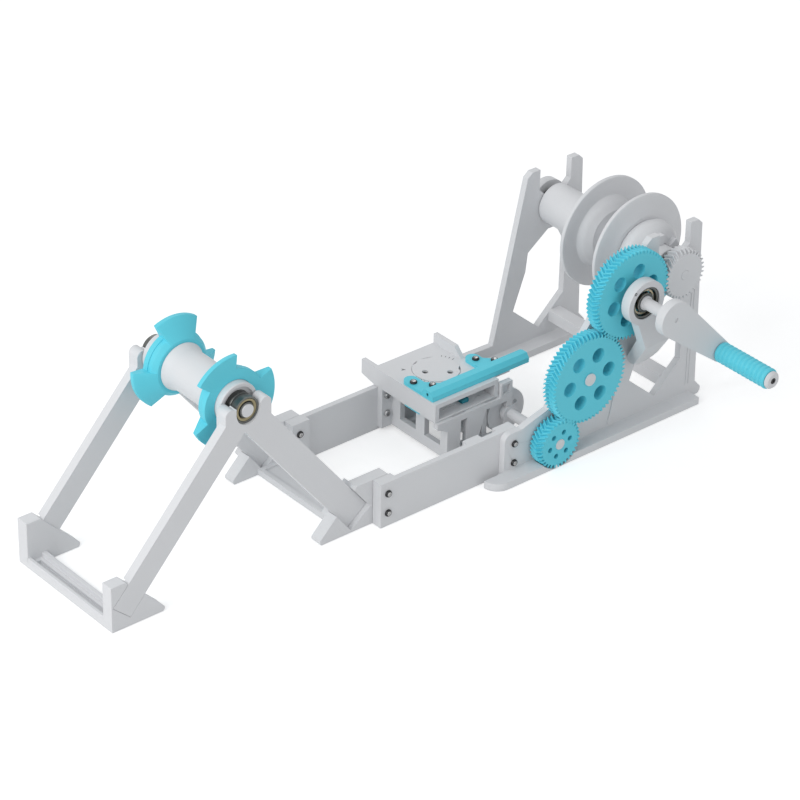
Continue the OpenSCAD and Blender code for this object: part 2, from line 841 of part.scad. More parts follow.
module guide_frame() {
  front_w = guide_x1 - guide_x0;
  depth = guide_back_y - guide_y;
  color(white_c) place()
    difference() {
      union() {
        slab(guide_y, guide_t)
          polygon([
            [tray_x, deck_h - guide_t],
            [guide_x0, deck_h - 2 * guide_t],
            [guide_x0, guide_lift],
            [guide_x1, guide_lift],
            [guide_x1, deck_h],
            [tray_x, deck_h]
          ]);
        for (x = [guide_x0, guide_in_x - guide_t])
          box([x, x + guide_t], [guide_y, guide_back_y], [guide_lift, shelf_top]);
        box([guide_x0, guide_in_x], [guide_y, guide_back_y], [guide_lift, guide_lift + guide_t]);
        box([guide_x0, guide_in_x], [guide_back_y - guide_t, guide_back_y], [guide_lift, deck_h]);
        // lugs on the two rails
        box([tray_x + gap, guide_x0 + guide_t], [lug_y, guide_y1], [guide_lift, deck_h]);
        box([guide_x0, guide_x0 + guide_t], [guide_back_y - guide_t, guide_y1],
          [guide_lift, deck_h]);
        box([tray_x + gap, guide_x0 + guide_t], [guide_rail_y, guide_y],
          [guide_lift, guide_lift + guide_t]);
        box([tray_x + gap, guide_x0 + guide_t], [guide_rail_y, guide_rail_y + guide_t],
          [guide_lift, deck_h]);
        // rear bearing of the drive shaft
        rod(drive_p, guide_back_y - guide_t, guide_t, drive_shaft_d + 2 * guide_t);
        box([guide_in_x - guide_t, drive_p[0]], [guide_back_y - guide_t, guide_back_y],
          [guide_lift, drive_p[1] + guide_t]);
        box([tray_x1 + 2 * gap, guide_x1], [guide_y, guide_y + guide_t],
          [deck_h - guide_t, tray_top - tray_t - gap]);
      }
      // small window and large arch in the front
      slab(guide_y - over, guide_t + 2 * over)
        window(guide_x0 + front_w * window_shares[0], guide_x0 + front_w * window_shares[1],
          guide_lift + guide_t, deck_h - guide_t, front_w * window_lean_shares[0]);
      slab(guide_y - over, guide_t + 2 * over)
        polygon([
          [guide_x0 + front_w * window_shares[2], guide_lift + guide_t],
          [guide_x1 - guide_t, guide_lift + guide_t],
          [guide_x1 - guide_t, deck_h - guide_t],
          [guide_x0 + front_w * (window_shares[2] + window_lean_shares[1]), deck_h - guide_t]
        ]);
      // recess in the end block
      slab(guide_y - over, over + guide_t / 2)
        window(tray_x1 + guide_t / 2, guide_x1 - guide_t / 2, deck_h + guide_t / 2,
          tray_top - tray_t - guide_t / 2, 0);
      // side windows
      for (s = side_window_shares)
        box([guide_x0 - over, guide_in_x + over], [guide_y + depth * s[0], guide_y + depth * s[1]],
          [guide_lift + 2 * guide_t, shelf_top - guide_t]);
      // floor opening
      box([guide_x0 + 2 * guide_t, guide_in_x - 2 * guide_t],
        [guide_y + 2 * guide_t, guide_back_y - 2 * guide_t],
        [guide_lift - over, guide_lift + guide_t + over]);
      // slits in the ledge
      for (s = slit_shares)
        box([tray_x + guide_w * s[0], tray_x + guide_w * s[1]],
          [guide_y + guide_t * 0.45, guide_y + guide_t * 0.65], [deck_h - guide_t * 0.4, deck_h + over]);
      rod(drive_p, guide_y - over, depth + 2 * over, drive_shaft_d + 2 * run_fit);
      rod(drive_p, guide_y - over, guide_t + 2 * over, reverse_d + 2 * gap);
      guide_rail_holes();
    }
}

module guide_screws() {
  color(steel_c) place()
    for (z = lug_screw_zs) {
      screw([lug_x, z], lug_y, guide_screw_back);
      translate([0, guide_rail_y + guide_t, 0])
        mirror([0, 1, 0])
          screw([lug_x, z], 0, guide_screw_len);
    }
}

fin_root_share = 0.2;
raised_share = 0.55;

// Side walls of the carriage seen along X, extruded across their thickness

module tray_side_near() {
  rotate([90, 0, 90])
    linear_extrude(tray_wall)
      polygon([
        [tray_y, tray_wall_z],
        [tray_y1, tray_wall_z],
        [tray_y1 + fin_len, tray_wall_z + (tray_top - tray_wall_z) * fin_root_share],
        [tray_y1 + fin_len, tray_top],
        [tray_y, tray_top]
      ]);
}

module tray_side_far() {
  rotate([90, 0, 90])
    linear_extrude(tray_wall)
      polygon([
        [tray_y, tray_wall_z],
        [tray_y1, tray_wall_z],
        [tray_y1, tray_top + fin_rise],
        [tray_y + tray_depth * raised_share + fin_rise, tray_top + fin_rise],
        [tray_y + tray_depth * raised_share, tray_top],
        [tray_y, tray_top]
      ]);
}

module guide_tray() {
  seat_y = dial_p[1];
  color(white_c) place()
    difference() {
      union() {
        box([tray_x, tray_x1], [tray_y, tray_y1], [tray_top - tray_t, tray_top]);
        box([tray_x1 - over, tray_x1 + tab_w * 1.6],
          [bar_y0 + bar_w / 4, bar_y0 + bar_w + tab_w * 0.7], [tray_top - tray_t, tray_top]);
        translate([tray_x, 0, 0])
          tray_side_near();
        translate([tray_x1 - tray_wall, 0, 0])
          tray_side_far();
      }
      translate([dial_p[0], dial_p[1], tray_top - tray_t - over])
        cylinder(h = tray_t + 2 * over, d = dial_d - 2 * tray_wall);
      translate([dial_p[0], dial_p[1], tray_top - tray_t / 2])
        cylinder(h = tray_t, d = dial_d + 2 * gap);
      // pointer mark beside the dial
      translate([dial_p[0] - dial_d * 0.66, dial_p[1] + dial_d * 0.15, tray_top - tray_t / 8])
        rotate(-40)
          linear_extrude(tray_t)
            polygon([[0, -bar_h / 8], [bar_h / 4, 0], [0, bar_h / 8]]);
      for (p = bar_screws)
        translate([p[0], p[1], tray_top - tray_t - over])
          cylinder(h = tray_t + 2 * over, d = screw_d + gap);
    }
}

module guide_dial() {
  r = dial_d / 2;
  color(white_c) place()
    translate([dial_p[0], dial_p[1], 0])
      difference() {
        union() {
          translate([0, 0, tray_top - tray_t / 2 + gap])
            cylinder(h = tray_t / 2 + gap, d = dial_d);
          translate([0, 0, tray_top - tray_t - tray_t / 3])
            cylinder(h = tray_t, d = dial_d - 2 * tray_wall - 2 * gap);
        }
        for (s = [-1, 1])
          translate([s * r * 0.56, s * r * -0.34, tray_top - 3 * tray_t])
            cylinder(h = 4 * tray_t, d = r * 0.26);
        // ring groove with two bridges
        translate([0, 0, tray_top])
          linear_extrude(tray_t)
            difference() {
              circle(r = r * 0.86);
              circle(r = r * 0.8);
              for (a = [20, 110])
                rotate(a)
                  square([3 * r, r * 0.3], center = true);
            }
        // slots in the rim
        for (a = [35:50:335])
          rotate(a)
            translate([r * 0.9, -r * 0.05, tray_top])
              cube([r * 0.2, r * 0.1, tray_t]);
      }
}

bar_x0 = tray_x + gap * 3;
bar_y0 = tray_y + tray_depth * 0.06;
bar_z0 = tray_top + gap / 3;
tab_w = tray_w * 0.18;
tab_shares = [1.65, 1.3];
bar_chamfer_share = 0.4;
tab_x = [bar_x0, tray_x1 - tab_w * 0.35];
bar_screws = [
  [tab_x[0] + tab_w * 0.36, bar_y0 + bar_w + tab_w * 1.25],
  [tab_x[0] + tab_w * 1.12, bar_y0 + bar_w + tab_w * 0.18],
  [tab_x[1] + tab_w * 0.5, bar_y0 + bar_w + tab_w],
  [tab_x[1] + tab_w * 1.4, bar_y0 + bar_w + tab_w * 0.1]
];

module guide_bar() {
  color(teal_c) place()
    difference() {
      union() {
        // bar with bevelled edges, extruded along X
        translate([bar_x0, 0, 0])
          rotate([90, 0, 90])
            linear_extrude(bar_len)
              polygon([
                [bar_y0, bar_z0],
                [bar_y0 + bar_w, bar_z0],
                [bar_y0 + bar_w, bar_z0 + bar_h * 0.45],
                [bar_y0 + bar_w * 0.7, bar_z0 + bar_h],
                [bar_y0 + bar_w * 0.22, bar_z0 + bar_h],
                [bar_y0, bar_z0 + bar_h * 0.55]
              ]);
        for (k = [0, 1])
          translate([tab_x[k], 0, bar_z0])
            linear_extrude(tab_t)
              union() {
                translate([0, bar_y0 + bar_w / 2])
                  square([tab_w, bar_w / 2 + tab_w * tab_shares[k]]);
                translate([tab_w / 2, bar_y0 + bar_w + tab_w * tab_shares[k]])
                  circle(d = tab_w);
                polygon([
                  [tab_w - gap, bar_y0 + bar_w - gap],
                  [tab_w * 1.9, bar_y0 + bar_w - gap],
                  [tab_w - gap, bar_y0 + bar_w + tab_w * 0.9]
                ]);
              }
      }
      // chamfered free end
      translate([bar_x0 + bar_len, bar_y0 + bar_w * (1 - bar_chamfer_share), bar_z0 - over])
        rotate(45)
          cube([bar_w, bar_h, bar_h + 2 * over]);
      for (p = bar_screws)
        translate([p[0], p[1], bar_z0 - over])
          cylinder(h = bar_h + 2 * over, d = screw_d + gap);
      for (p = bar_screws)
        translate([p[0], p[1], bar_z0 + tab_t])
          cylinder(h = bar_h + over, d = screw_head_d + 2 * gap);
      translate([bar_x0 - over, bar_y0 + bar_w * 0.45, bar_z0 + bar_h * 0.4])
        rotate([0, 90, 0])
          cylinder(h = over + gap * 3, d = screw_d * 0.8);
    }
}

module guide_bar_screws() {
  color(steel_c) place()
    for (p = bar_screws)
      translate([p[0], p[1], bar_z0 + tab_t])
        difference() {
          union() {
            cylinder(h = screw_head_h, d = screw_head_d);
            translate([0, 0, -tab_t - tray_t])
              cylinder(h = tab_t + tray_t + gap, d = screw_d);
          }
          translate([0, 0, screw_head_h / 2])
            cylinder(h = screw_head_h, d = screw_d * 0.85);
        }
}

// Crosshead under the carriage with the finger that rides in the reversing screw

module guide_follower() {
  half = guide_t * 1.8;
  z0 = shelf_top + 2 * gap;
  color(teal_c) place()
    difference() {
      union() {
        box([tray_x + tray_wall + gap, tray_x1 - tray_wall - gap],
          [finger_y - half, finger_y + half], [z0, deck_h + guide_t]);
        box([guide_x0 + 2 * guide_t, guide_in_x - 2 * guide_t], [finger_y - half, finger_y + half],
          [deck_h, tray_top - tray_t]);
        box([tray_x1 - tray_wall - 2 * guide_t, drive_p[0] + guide_t],
          [finger_y - guide_t, finger_y + guide_t], [z0, deck_h - gap]);
        translate([drive_p[0], finger_y, drive_p[1] + reverse_d / 2 + gap])
          cylinder(h = z0 - drive_p[1] - reverse_d / 2 + guide_t / 2, d = guide_t);
      }
      translate([dial_p[0], dial_p[1], deck_h - over])
        cylinder(h = tray_top - deck_h + 2 * over, d = dial_d);
    }
}

// Take-up walls

wall_rake = (wall_spread - slot_w / 2 - post_w) / wall_h;
flange_x = rail_x + rail_len - rail_end_len - gap;
heel_x = axle_x + slot_w / 2 + post_w * 2;

function rake_x(z) = axle_x - wall_spread + z * wall_rake;

module wall_outline() {
  bevel = post_w / 3;
  top_in = axle_x - slot_w / 2;
  difference() {
    polygon([
      [rake_x(0), 0],
      [rake_x(wall_h - bevel), wall_h - bevel],
      [rake_x(wall_h) + bevel, wall_h],
      [top_in, wall_h],
      [top_in, axle_z + seat_d * 0.8],
      [axle_x + slot_w / 2, axle_z + seat_d * 0.8],
      [axle_x + slot_w / 2, wall_h],
      [post_x1 - bevel, wall_h],
      [post_x1, wall_h - bevel],
      [post_x1 + bevel, base_t * 2],
      [heel_x - bevel / 2, base_t * 0.9],
      [heel_x - bevel / 2, base_t * 0.4],
      [heel_x - bevel, 0]
    ]);
    translate(axle_p)
      circle(d = seat_d);
    translate(axle_p)
      polygon([
        [-seat_d / 2, 0],
        [seat_d / 2, 0],
        [seat_d / 2, seat_d * 0.5],
        [slot_w / 2, seat_d * 0.5 + (slot_w - seat_d) / 2],
        [slot_w / 2, seat_d],
        [-slot_w / 2, seat_d],
        [-slot_w / 2, seat_d * 0.5 + (slot_w - seat_d) / 2],
        [-seat_d / 2, seat_d * 0.5]
      ]);
    wall_cutout();
  }
}

module wall_cutout() {
  z_top = axle_z - seat_d / 2 - 0.9 * post_w;
  z_mid = axle_z * 0.705;
  z_low = axle_z * 0.575;
  polygon([
    [axle_x - 0.94 * post_w, deck_h * 0.41],
    [rake_x(deck_h) + 1.25 * post_w, deck_h * 1.05],
    [rake_x(z_low) + 1.6 * post_w, z_low],
    [rake_x(z_mid) + 1.46 * post_w, z_mid],
    [axle_x - 0.46 * post_w, z_top],
    [axle_x + 0.46 * post_w, z_top],
    [axle_x + 1.14 * post_w, z_mid],
    [axle_x + 1.14 * post_w, deck_h * 1.04]
  ]);
}

module gear_plate() {
  r = pitch_large / 4;
  round_r = deck_h / 6;
  difference() {
    union() {
      polygon([
        [flange_x, 0],
        [flange_x, deck_h - round_r],
        [flange_x + round_r, deck_h],
        [drive_p[0] - 0.72 * pitch_small, deck_h],
        [drive_p[0] - 0.42 * pitch_small, deck_h * 1.1],
        [drive_p[0] - 0.05 * pitch_small, deck_h * 1.2],
        [drive_p[0] + 0.05 * pitch_small, deck_h * 1.35],
        idler_p + r * [cos(160), sin(160)],
        idler_p + r * [cos(115), sin(115)],
        crank_p + r * [cos(190), sin(190)],
        crank_p + r * [cos(125), sin(125)],
        crank_p + r * [cos(70), sin(70)],
        [rake_x(axle_z * 1.12) + post_w / 2, axle_z * 1.12],
        [rake_x(0) + post_w / 2, 0]
      ]);
      translate([flange_x + round_r, deck_h - round_r])
        circle(r = round_r);
    }
  }
}

// Flat base flange in front of a wall, rounded at the supply end

module base_flange(y_front) {
  linear_extrude(base_t)
    union() {
      translate([flange_x - flange_reach, y_front])
        square([post_x1 - post_w / 4 - flange_x + flange_reach, base_depth + gap]);
      intersection() {
        translate([flange_x - flange_reach, y_front + base_depth])
          circle(r = base_depth);
        translate([flange_x - flange_reach - base_depth, y_front])
          square([base_depth + gap, base_depth]);
      }
    }
}

module wall_front() {
  color(white_c) place()
    difference() {
      union() {
        slab(wall_y, wall_t) {
          wall_outline();
          gear_plate();
        }
        base_flange(wall_y - base_depth);
        // ribs at the foot of the leg and of the post
        slab(wall_y - wall_t / 6, wall_t / 3)
          polygon([
            [rake_x(deck_h / 4), deck_h / 4],
            [rake_x(axle_z / 2), axle_z / 2],
            [rake_x(axle_z / 2) + post_w / 4, axle_z / 2],
            [rake_x(deck_h / 4) + post_w / 4, deck_h / 4]
          ]);
      }
      rod(crank_p, wall_y - over, wall_t + 2 * over, shaft_d + 2 * run_fit);
      rod(idler_p, wall_y - over, wall_t + 2 * over, shaft_d + gap);
      rod(drive_p, wall_y - over, wall_t + 2 * over, drive_shaft_d + 2 * run_fit);
      rod(drive_p, gear_y - over, gear_w + gear_gap / 2 + over, pitch_small + 2 * gear_module + 4 * gap);
      screw_holes(wall_y - over, wall_t + 2 * over, [wall_screw_x]);
    }
}

module wall_back() {
  color(white_c) place()
    difference() {
      union() {
        slab(back_wall_y, wall_t) {
          wall_outline();
          polygon([
            [flange_x, 0],
            [flange_x, deck_h * 0.88],
            [flange_x + rail_end_len, deck_h * 0.88],
            [flange_x + rail_end_len * 1.8, deck_h * 0.45],
            [rake_x(0) + post_w / 2, deck_h * 0.4],
            [rake_x(0) + post_w / 2, 0]
          ]);
        }
        base_flange(back_wall_y - base_depth);
      }
      screw_holes(back_wall_y - over, wall_t + 2 * over, [wall_screw_x]);
    }
}

module wall_tie() {
  color(white_c) place()
    box([axle_x - tie_w * 0.1, axle_x + tie_w * 0.9], [wall_y + wall_t, back_wall_y],
      [deck_h * 0.47, deck_h * 0.47 + tie_h]);
}

module wall_spacer() {
  y0 = rail_back_y + rail_t;
  color(white_c) place()
    difference() {
      box([flange_x + gap, flange_x + rail_end_len], [y0, back_wall_y],
        [base_t + gap, deck_h * 0.88]);
      screw_holes(y0 - over, back_wall_y - y0 + 2 * over, [wall_screw_x]);
    }
}

module wall_screws() {
  color(steel_c) place()
    for (z = screw_zs) {
      screw([wall_screw_x, z], wall_y, screw_len);
      screw([wall_screw_x, z], rail_back_y, back_wall_y - rail_back_y + wall_t * 0.7);
    }
}

wall_bearing_y = [wall_y - (bearing_w - wall_t) / 2, back_wall_y - (bearing_w - wall_t) / 2];

module wall_bearing_rings() {
  color(steel_c) place()
    for (y0 = wall_bearing_y)
      bearing_ring(axle_p, y0, bearing_d, bearing_bore, bearing_w);
}

module wall_bearing_cores() {
  color(steel_c) place()
    for (y0 = wall_bearing_y)
      bearing_core(axle_p, y0, bearing_bore, bearing_w);
}

// Take-up spool holder

core_y0 = wall_y + wall_t + 2 * gap;
core_y1 = back_wall_y - 2 * gap;
flange_t = wall_t * 0.8;
flange_boss = wall_t * 1.5;
rear_y = back_wall_y - rear_flange_y;
front_y = rear_y - spool_gap;
fit_d = core_d + 2 * gap;

module takeup_axle() {
  color(white_c) place()
    rod(axle_p, gear_y - gap, back_wall_y + wall_t + flange_t - gear_y, shaft_d - gap / 3);
}

module takeup_core() {
  color(white_c) place()
    turned(axle_p, core_y0)
      polygon([
        [shaft_d / 2 + gap, 0],
        [core_d / 2 - 2 * gap, 0],
        [core_d / 2, 2 * gap],
        [core_d / 2, core_y1 - core_y0 - 2 * gap],
        [core_d / 2 - 2 * gap, core_y1 - core_y0],
        [shaft_d / 2 + gap, core_y1 - core_y0]
      ]);
}

ring_y0 = rear_y + flange_t + gap;
lock_t = wall_t;

module takeup_tube() {
  y0 = ring_y0 + lock_t + gap;
  color(white_c) place()
    turned(axle_p, y0)
      polygon([
        [fit_d / 2, 0],
        [tube_d / 2, 0],
        [tube_d / 2, core_y1 - y0 - gap],
        [tube_d / 2 - gap, core_y1 - y0],
        [fit_d / 2, core_y1 - y0]
      ]);
}

module lock_ring() {
  color(white_c) place()
    difference() {
      turned(axle_p, ring_y0)
        translate([fit_d / 2, 0])
          square([tube_d * 0.68 - fit_d / 2, lock_t]);
      for (a = [0:30:330])
        translate([axle_p[0], ring_y0 + lock_t * 0.45, axle_p[1]])
          rotate([0, a, 0])
            translate([tube_d * 0.6, 0, -tube_d * 0.06])
              cube([tube_d * 0.2, lock_t, tube_d * 0.12]);
    }
}

// Dished flange with a centring cone towards the other flange

module flange(y0, flip) {
  r = flange_d / 2;
  color(white_c) place()
    translate([axle_p[0], y0, axle_p[1]])
      mirror([0, flip, 0])
        rotate([90, 0, 0])
          rotate_extrude()
            polygon([
              [fit_d / 2, -flange_t],
              [r * 0.62, -flange_t],
              [r - gap, -flange_t * 0.45],
              [r, -flange_t * 0.35],
              [r, flange_t * 0.1],
              [r - gap * 2, flange_t * 0.25],
              [r * 0.66, 0],
              [r * 0.6, flange_boss * 0.5],
              [r * 0.46, flange_boss],
              [fit_d / 2, flange_boss]
            ]);
}

module flange_rear() {
  flange(rear_y, 0);
}

module flange_front() {
  flange(front_y, 1);
}

nut_y1 = front_y - flange_t - gap;

// Large domed nut with radial lugs on its front

nut_profile_shares = [[0.86, 0], [0.93, 0.12], [1, 0.3], [0.98, 0.52], [0.84, 0.72], [0.66, 0.82]];
lug_shares = [0.44, 0.74, 0.13];

module clamp_nut() {
  r = nut_d / 2;
  dome = nut_len * nut_profile_shares[5][1];
  color(white_c) place()
    difference() {
      union() {
        turned(axle_p, nut_y1 - nut_len)
          polygon(concat(
            [[fit_d / 2 - over, nut_len], [r * nut_profile_shares[0][0], nut_len]],
            [for (k = nut_profile_shares) [r * k[0], nut_len * (1 - k[1])]],
            [[fit_d / 2 - over, nut_len - dome]]
          ));
        for (i = [0:5])
          slab(nut_y1 - nut_len, nut_len / 2)
            translate(axle_p)
              rotate(60 * i + 30)
                translate([r * lug_shares[0], -r * lug_shares[2]])
                  square([r * (lug_shares[1] - lug_shares[0]), 2 * r * lug_shares[2]]);
      }
      rod(axle_p, nut_y1 - nut_len - over, nut_len + 2 * over, fit_d);
    }
}

module axle_gear() {
  color(white_c) place()
    difference() {
      gear_at(axle_p, teeth_small, -1, axle_phase);
      rod(axle_p, gear_y - over, gear_w + 2 * over, shaft_d + gap);
    }
}

module axle_cap() {
  y0 = back_wall_y + wall_t + 2 * gap;
  color(white_c) place()
    difference() {
      rod(axle_p, y0, flange_t * 1.6, tube_d);
      rod(axle_p, y0 - over, flange_t + over - gap, shaft_d + gap);
    }
}

// Gears, crank and drive

module crank_gear() {
  color(teal_c) place()
    difference() {
      gear_at(crank_p, teeth_large, 1, crank_phase);
      rod(crank_p, gear_y - over, gear_w + 2 * over, shaft_d + gap);
      hole_ring(crank_p, large_hole_circle, large_hole_d, 6, 15);
      hole_ring_flare(crank_p, large_hole_circle, large_hole_d, 6, 15);
    }
}

module idler_gear() {
  color(teal_c) place()
    difference() {
      gear_at(idler_p, teeth_large, -1, idler_phase);
      rod(idler_p, gear_y - over, gear_w + 2 * over, shaft_d + 2 * run_fit);
      hole_ring(idler_p, large_hole_circle, large_hole_d, 6, 6);
      hole_ring_flare(idler_p, large_hole_circle, large_hole_d, 6, 6);
    }
}

module idler_pin() {
  color(white_c) place()
    union() {
      rod(idler_p, gear_y - 2 * gap, gear_w + gear_gap + wall_t + 2 * gap, shaft_d);
      rod(idler_p, gear_y - gap - gear_module, gear_module, shaft_d + ring_t);
    }
}

module drive_gear() {
  color(teal_c) place()
    difference() {
      gear_at(drive_p, teeth_small, 1, drive_phase);
      rod(drive_p, gear_y - over, gear_w + 2 * over, drive_shaft_d + gap);
      hole_ring(drive_p, small_hole_circle, small_hole_d, 6, 10);
    }
}

screw_y0 = guide_y + guide_t + drive_disc_t + 2 * gap;

module drive_shaft() {
  len = guide_back_y - guide_t - screw_y0 - 2 * gap;
  color(white_c) place()
    union() {
      rod(drive_p, gear_y - gap, guide_back_y - gear_y, drive_shaft_d);
      rod(drive_p, guide_y - 2 * gap, guide_t + gap, reverse_d);
      // crossed grooves of the reversing screw
      difference() {
        rod(drive_p, screw_y0, len, reverse_d);
        for (i = [-2:2], s = [-1, 1])
          translate([drive_p[0], finger_y + i * traverse / 2, drive_p[1]])
            rotate([90 + s * 24, 0, 0])
              difference() {
                cylinder(h = reverse_d * 0.14, d = reverse_d * 1.6, center = true);
                cylinder(h = reverse_d * 0.3, d = reverse_d * 0.74, center = true);
              }
      }
    }
}

module drive_disc() {
  y0 = guide_y + guide_t + gap;
  color(white_c) place()
    difference() {
      rod(drive_p, y0, drive_disc_t, drive_disc_d);
      rod(drive_p, y0 - over, drive_disc_t + 2 * over, drive_shaft_d + gap);
      rod(drive_p + drive_disc_d * 0.27 * [cos(30), sin(30)], y0 - over, drive_disc_t + 2 * over,
        screw_d * 1.4);
    }
}

module crank_shaft() {
  y_hub = arm_y + arm_t * 0.3;
  ring_back = ring_y + bracket_t;
  color(white_c) place()
    union() {
      rod(crank_p, y_hub, wall_y + wall_t - y_hub, shaft_d);
      rod(crank_p, ring_y, bracket_t + gap, crank_bearing_bore - gap / 3);
    }
}

module crank_bearing_ring() {
  color(steel_c) place()
    bearing_ring(crank_p, ring_y + bracket_t - crank_bearing_w, crank_bearing_d,
      crank_bearing_bore, crank_bearing_w);
}

module crank_bearing_core() {
  color(steel_c) place()
    bearing_core(crank_p, ring_y + bracket_t - crank_bearing_w, crank_bearing_bore,
      crank_bearing_w);
}

// Curved bracket that stands off the front wall and carries the crank bearing

bracket_foot = [crank_p[0] + pitch_large * 0.305, crank_p[1] - pitch_large * 0.88];
bracket_neck_share = 0.7;
bracket_foot_share = 0.585;

module crank_bracket() {
  depth = wall_y - ring_y;
  r = bracket_ring_d / 2;
  step_z = crank_p[1] - pitch_large / 2 - gear_module - ring_gap / 2;
  low_z = bracket_foot[1] - r * (bracket_foot_share + gap / 2);
  lip_z = step_z + bracket_t * gear_module - ring_gap;
  color(white_c) place()
    difference() {
      intersection() {
        union() {
          slab(ring_y, depth)
            link(crank_p, r * bracket_neck_share, bracket_foot, r * bracket_foot_share);
          slab(ring_y, bracket_t)
            translate(crank_p)
              circle(r = r);
        }
        // side profile: a flat strap that slants back to the wall below the gear
        translate([crank_p[0] - r - over, 0, 0])
          rotate([90, 0, 90])
            linear_extrude(2 * r + pitch_large)
              polygon([
                [ring_y, crank_p[1] + r + over],
                [ring_y, step_z],
                [wall_y - gap, low_z + gap],
                [wall_y, low_z],
                [wall_y, low_z + bracket_t * 1.5],
                [ring_y + bracket_t, lip_z],
                [ring_y + bracket_t, crank_p[1] + r + over]
              ]);
      }
      rod(crank_p, ring_y + bracket_t - crank_bearing_w, bracket_t, crank_bearing_d + gap);
      rod(crank_p, ring_y - over, bracket_t, crank_bearing_d);
    }
}

module crank_arm() {
  color(white_c) place()
    difference() {
      slab(arm_y, arm_t)
        link(crank_p, crank_hub_d / 2, grip_p, arm_end_d / 2);
      rod(crank_p, arm_y + arm_t * 0.3 - gap, arm_t, shaft_d + gap);
      rod(crank_p, arm_y - over, over + arm_t * 0.15, screw_d * 1.3);
      rod(grip_p, arm_y - over, arm_t * 0.6 + over, shaft_d + gap);
    }
}

module grip_pin() {
  color(white_c) place()
    rod(grip_p, grip_y - gap, grip_len + 2 * gap + arm_t * 0.6 - gap, shaft_d);
}

module grip() {
  pitch = grip_len / grip_ribs;
  r = grip_d / 2;
  color(teal_c) place()
    turned(grip_p, grip_y)
      difference() {
        polygon(concat(
          [[shaft_d / 2 + run_fit, 0]],
          [for (i = [0:grip_ribs - 1], k = [0:4])
            [r - [0.11, 0.02, 0, 0.02, 0.11][k] * r, pitch * (i + [0.04, 0.25, 0.5, 0.75, 0.96][k])]],
          [[shaft_d / 2 + run_fit, grip_len]]
        ));
      }
}

module grip_cap() {
  t = ring_t * 1.2;
  color(white_c) place()
    difference() {
      turned(grip_p, grip_y - gap - t)
        polygon([
          [0, 0],
          [grip_d * 0.34, 0],
          [grip_d * 0.42, t * 0.5],
          [grip_d * 0.42, t],
          [0, t]
        ]);
      rod(grip_p, grip_y - gap - t - over, t * 0.4 + over, screw_d * 1.8);
    }
}

module crank_screws() {
  color(steel_c) place()
    difference() {
      rod(grip_p, grip_y - gap - ring_t * 1.2, ring_t * 0.48, screw_d * 1.6);
      rod(grip_p, grip_y - gap - ring_t * 1.2 - over, ring_t * 0.24 + over, screw_d * 0.8);
    }
}

stand_base();
supply_frame_front();
supply_frame_back();
supply_feet();
cradle_bearing_rings();
roller_axle();
roller_axle_cap();
roller_hub();
roller_cone_front();
roller_cone_back();
roller_bearings();
cradle_bearing_cores();
rail_front();
rail_back();
rail_screws();
guide_frame();
guide_screws();
guide_tray();
guide_dial();
guide_bar();
guide_bar_screws();
guide_follower();
wall_front();
wall_back();
wall_tie();
wall_spacer();
wall_screws();
wall_bearing_rings();
wall_bearing_cores();
takeup_axle();
takeup_core();
takeup_tube();
lock_ring();
flange_rear();
flange_front();
clamp_nut();
axle_gear();
axle_cap();
crank_gear();
crank_shaft();
crank_bracket();
crank_bearing_ring();
crank_bearing_core();
crank_arm();
grip_pin();
grip();
grip_cap();
crank_screws();
idler_gear();
idler_pin();
drive_gear();
drive_shaft();
drive_disc();
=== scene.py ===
"""Dressed model of a hand-cranked filament spool winder, around its fixed CAD frame."""

import logging
import math
from dataclasses import dataclass, field
from enum import Enum
from typing import Dict, Iterable, List, Optional, Sequence, Tuple, Union

import bmesh
import bpy
from mathutils import Matrix, Vector


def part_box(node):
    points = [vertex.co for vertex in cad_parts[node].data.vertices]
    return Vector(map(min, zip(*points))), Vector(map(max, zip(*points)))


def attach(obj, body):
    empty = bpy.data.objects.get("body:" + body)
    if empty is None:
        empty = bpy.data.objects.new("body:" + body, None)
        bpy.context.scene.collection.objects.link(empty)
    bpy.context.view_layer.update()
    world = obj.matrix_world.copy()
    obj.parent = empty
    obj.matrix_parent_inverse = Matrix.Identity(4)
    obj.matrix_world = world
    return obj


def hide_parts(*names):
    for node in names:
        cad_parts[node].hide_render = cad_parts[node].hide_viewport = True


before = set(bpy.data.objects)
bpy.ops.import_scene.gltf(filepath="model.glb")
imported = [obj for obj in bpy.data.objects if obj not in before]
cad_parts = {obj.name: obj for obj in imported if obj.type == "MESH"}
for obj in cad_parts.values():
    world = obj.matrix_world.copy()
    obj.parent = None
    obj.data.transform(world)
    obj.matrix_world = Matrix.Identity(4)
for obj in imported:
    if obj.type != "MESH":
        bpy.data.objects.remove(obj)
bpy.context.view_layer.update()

LOG = logging.getLogger("spool_winder")
MM = 0.001
MERGE_DISTANCE = 0.001 * MM
WELD_DISTANCE = 0.005 * MM
SOFT_ANGLE = math.radians(40)
SHARP_ANGLE = math.radians(32)

Colour = Tuple[float, float, float]
Point = Tuple[float, float, float]
Flat = Tuple[float, float]

WHITE: Colour = (1.0, 1.0, 1.0)


class Stack(Enum):
    """The direction in which a printed piece's layers are stacked."""

    ALONG_Y = "Y"
    ALONG_Z = "Z"


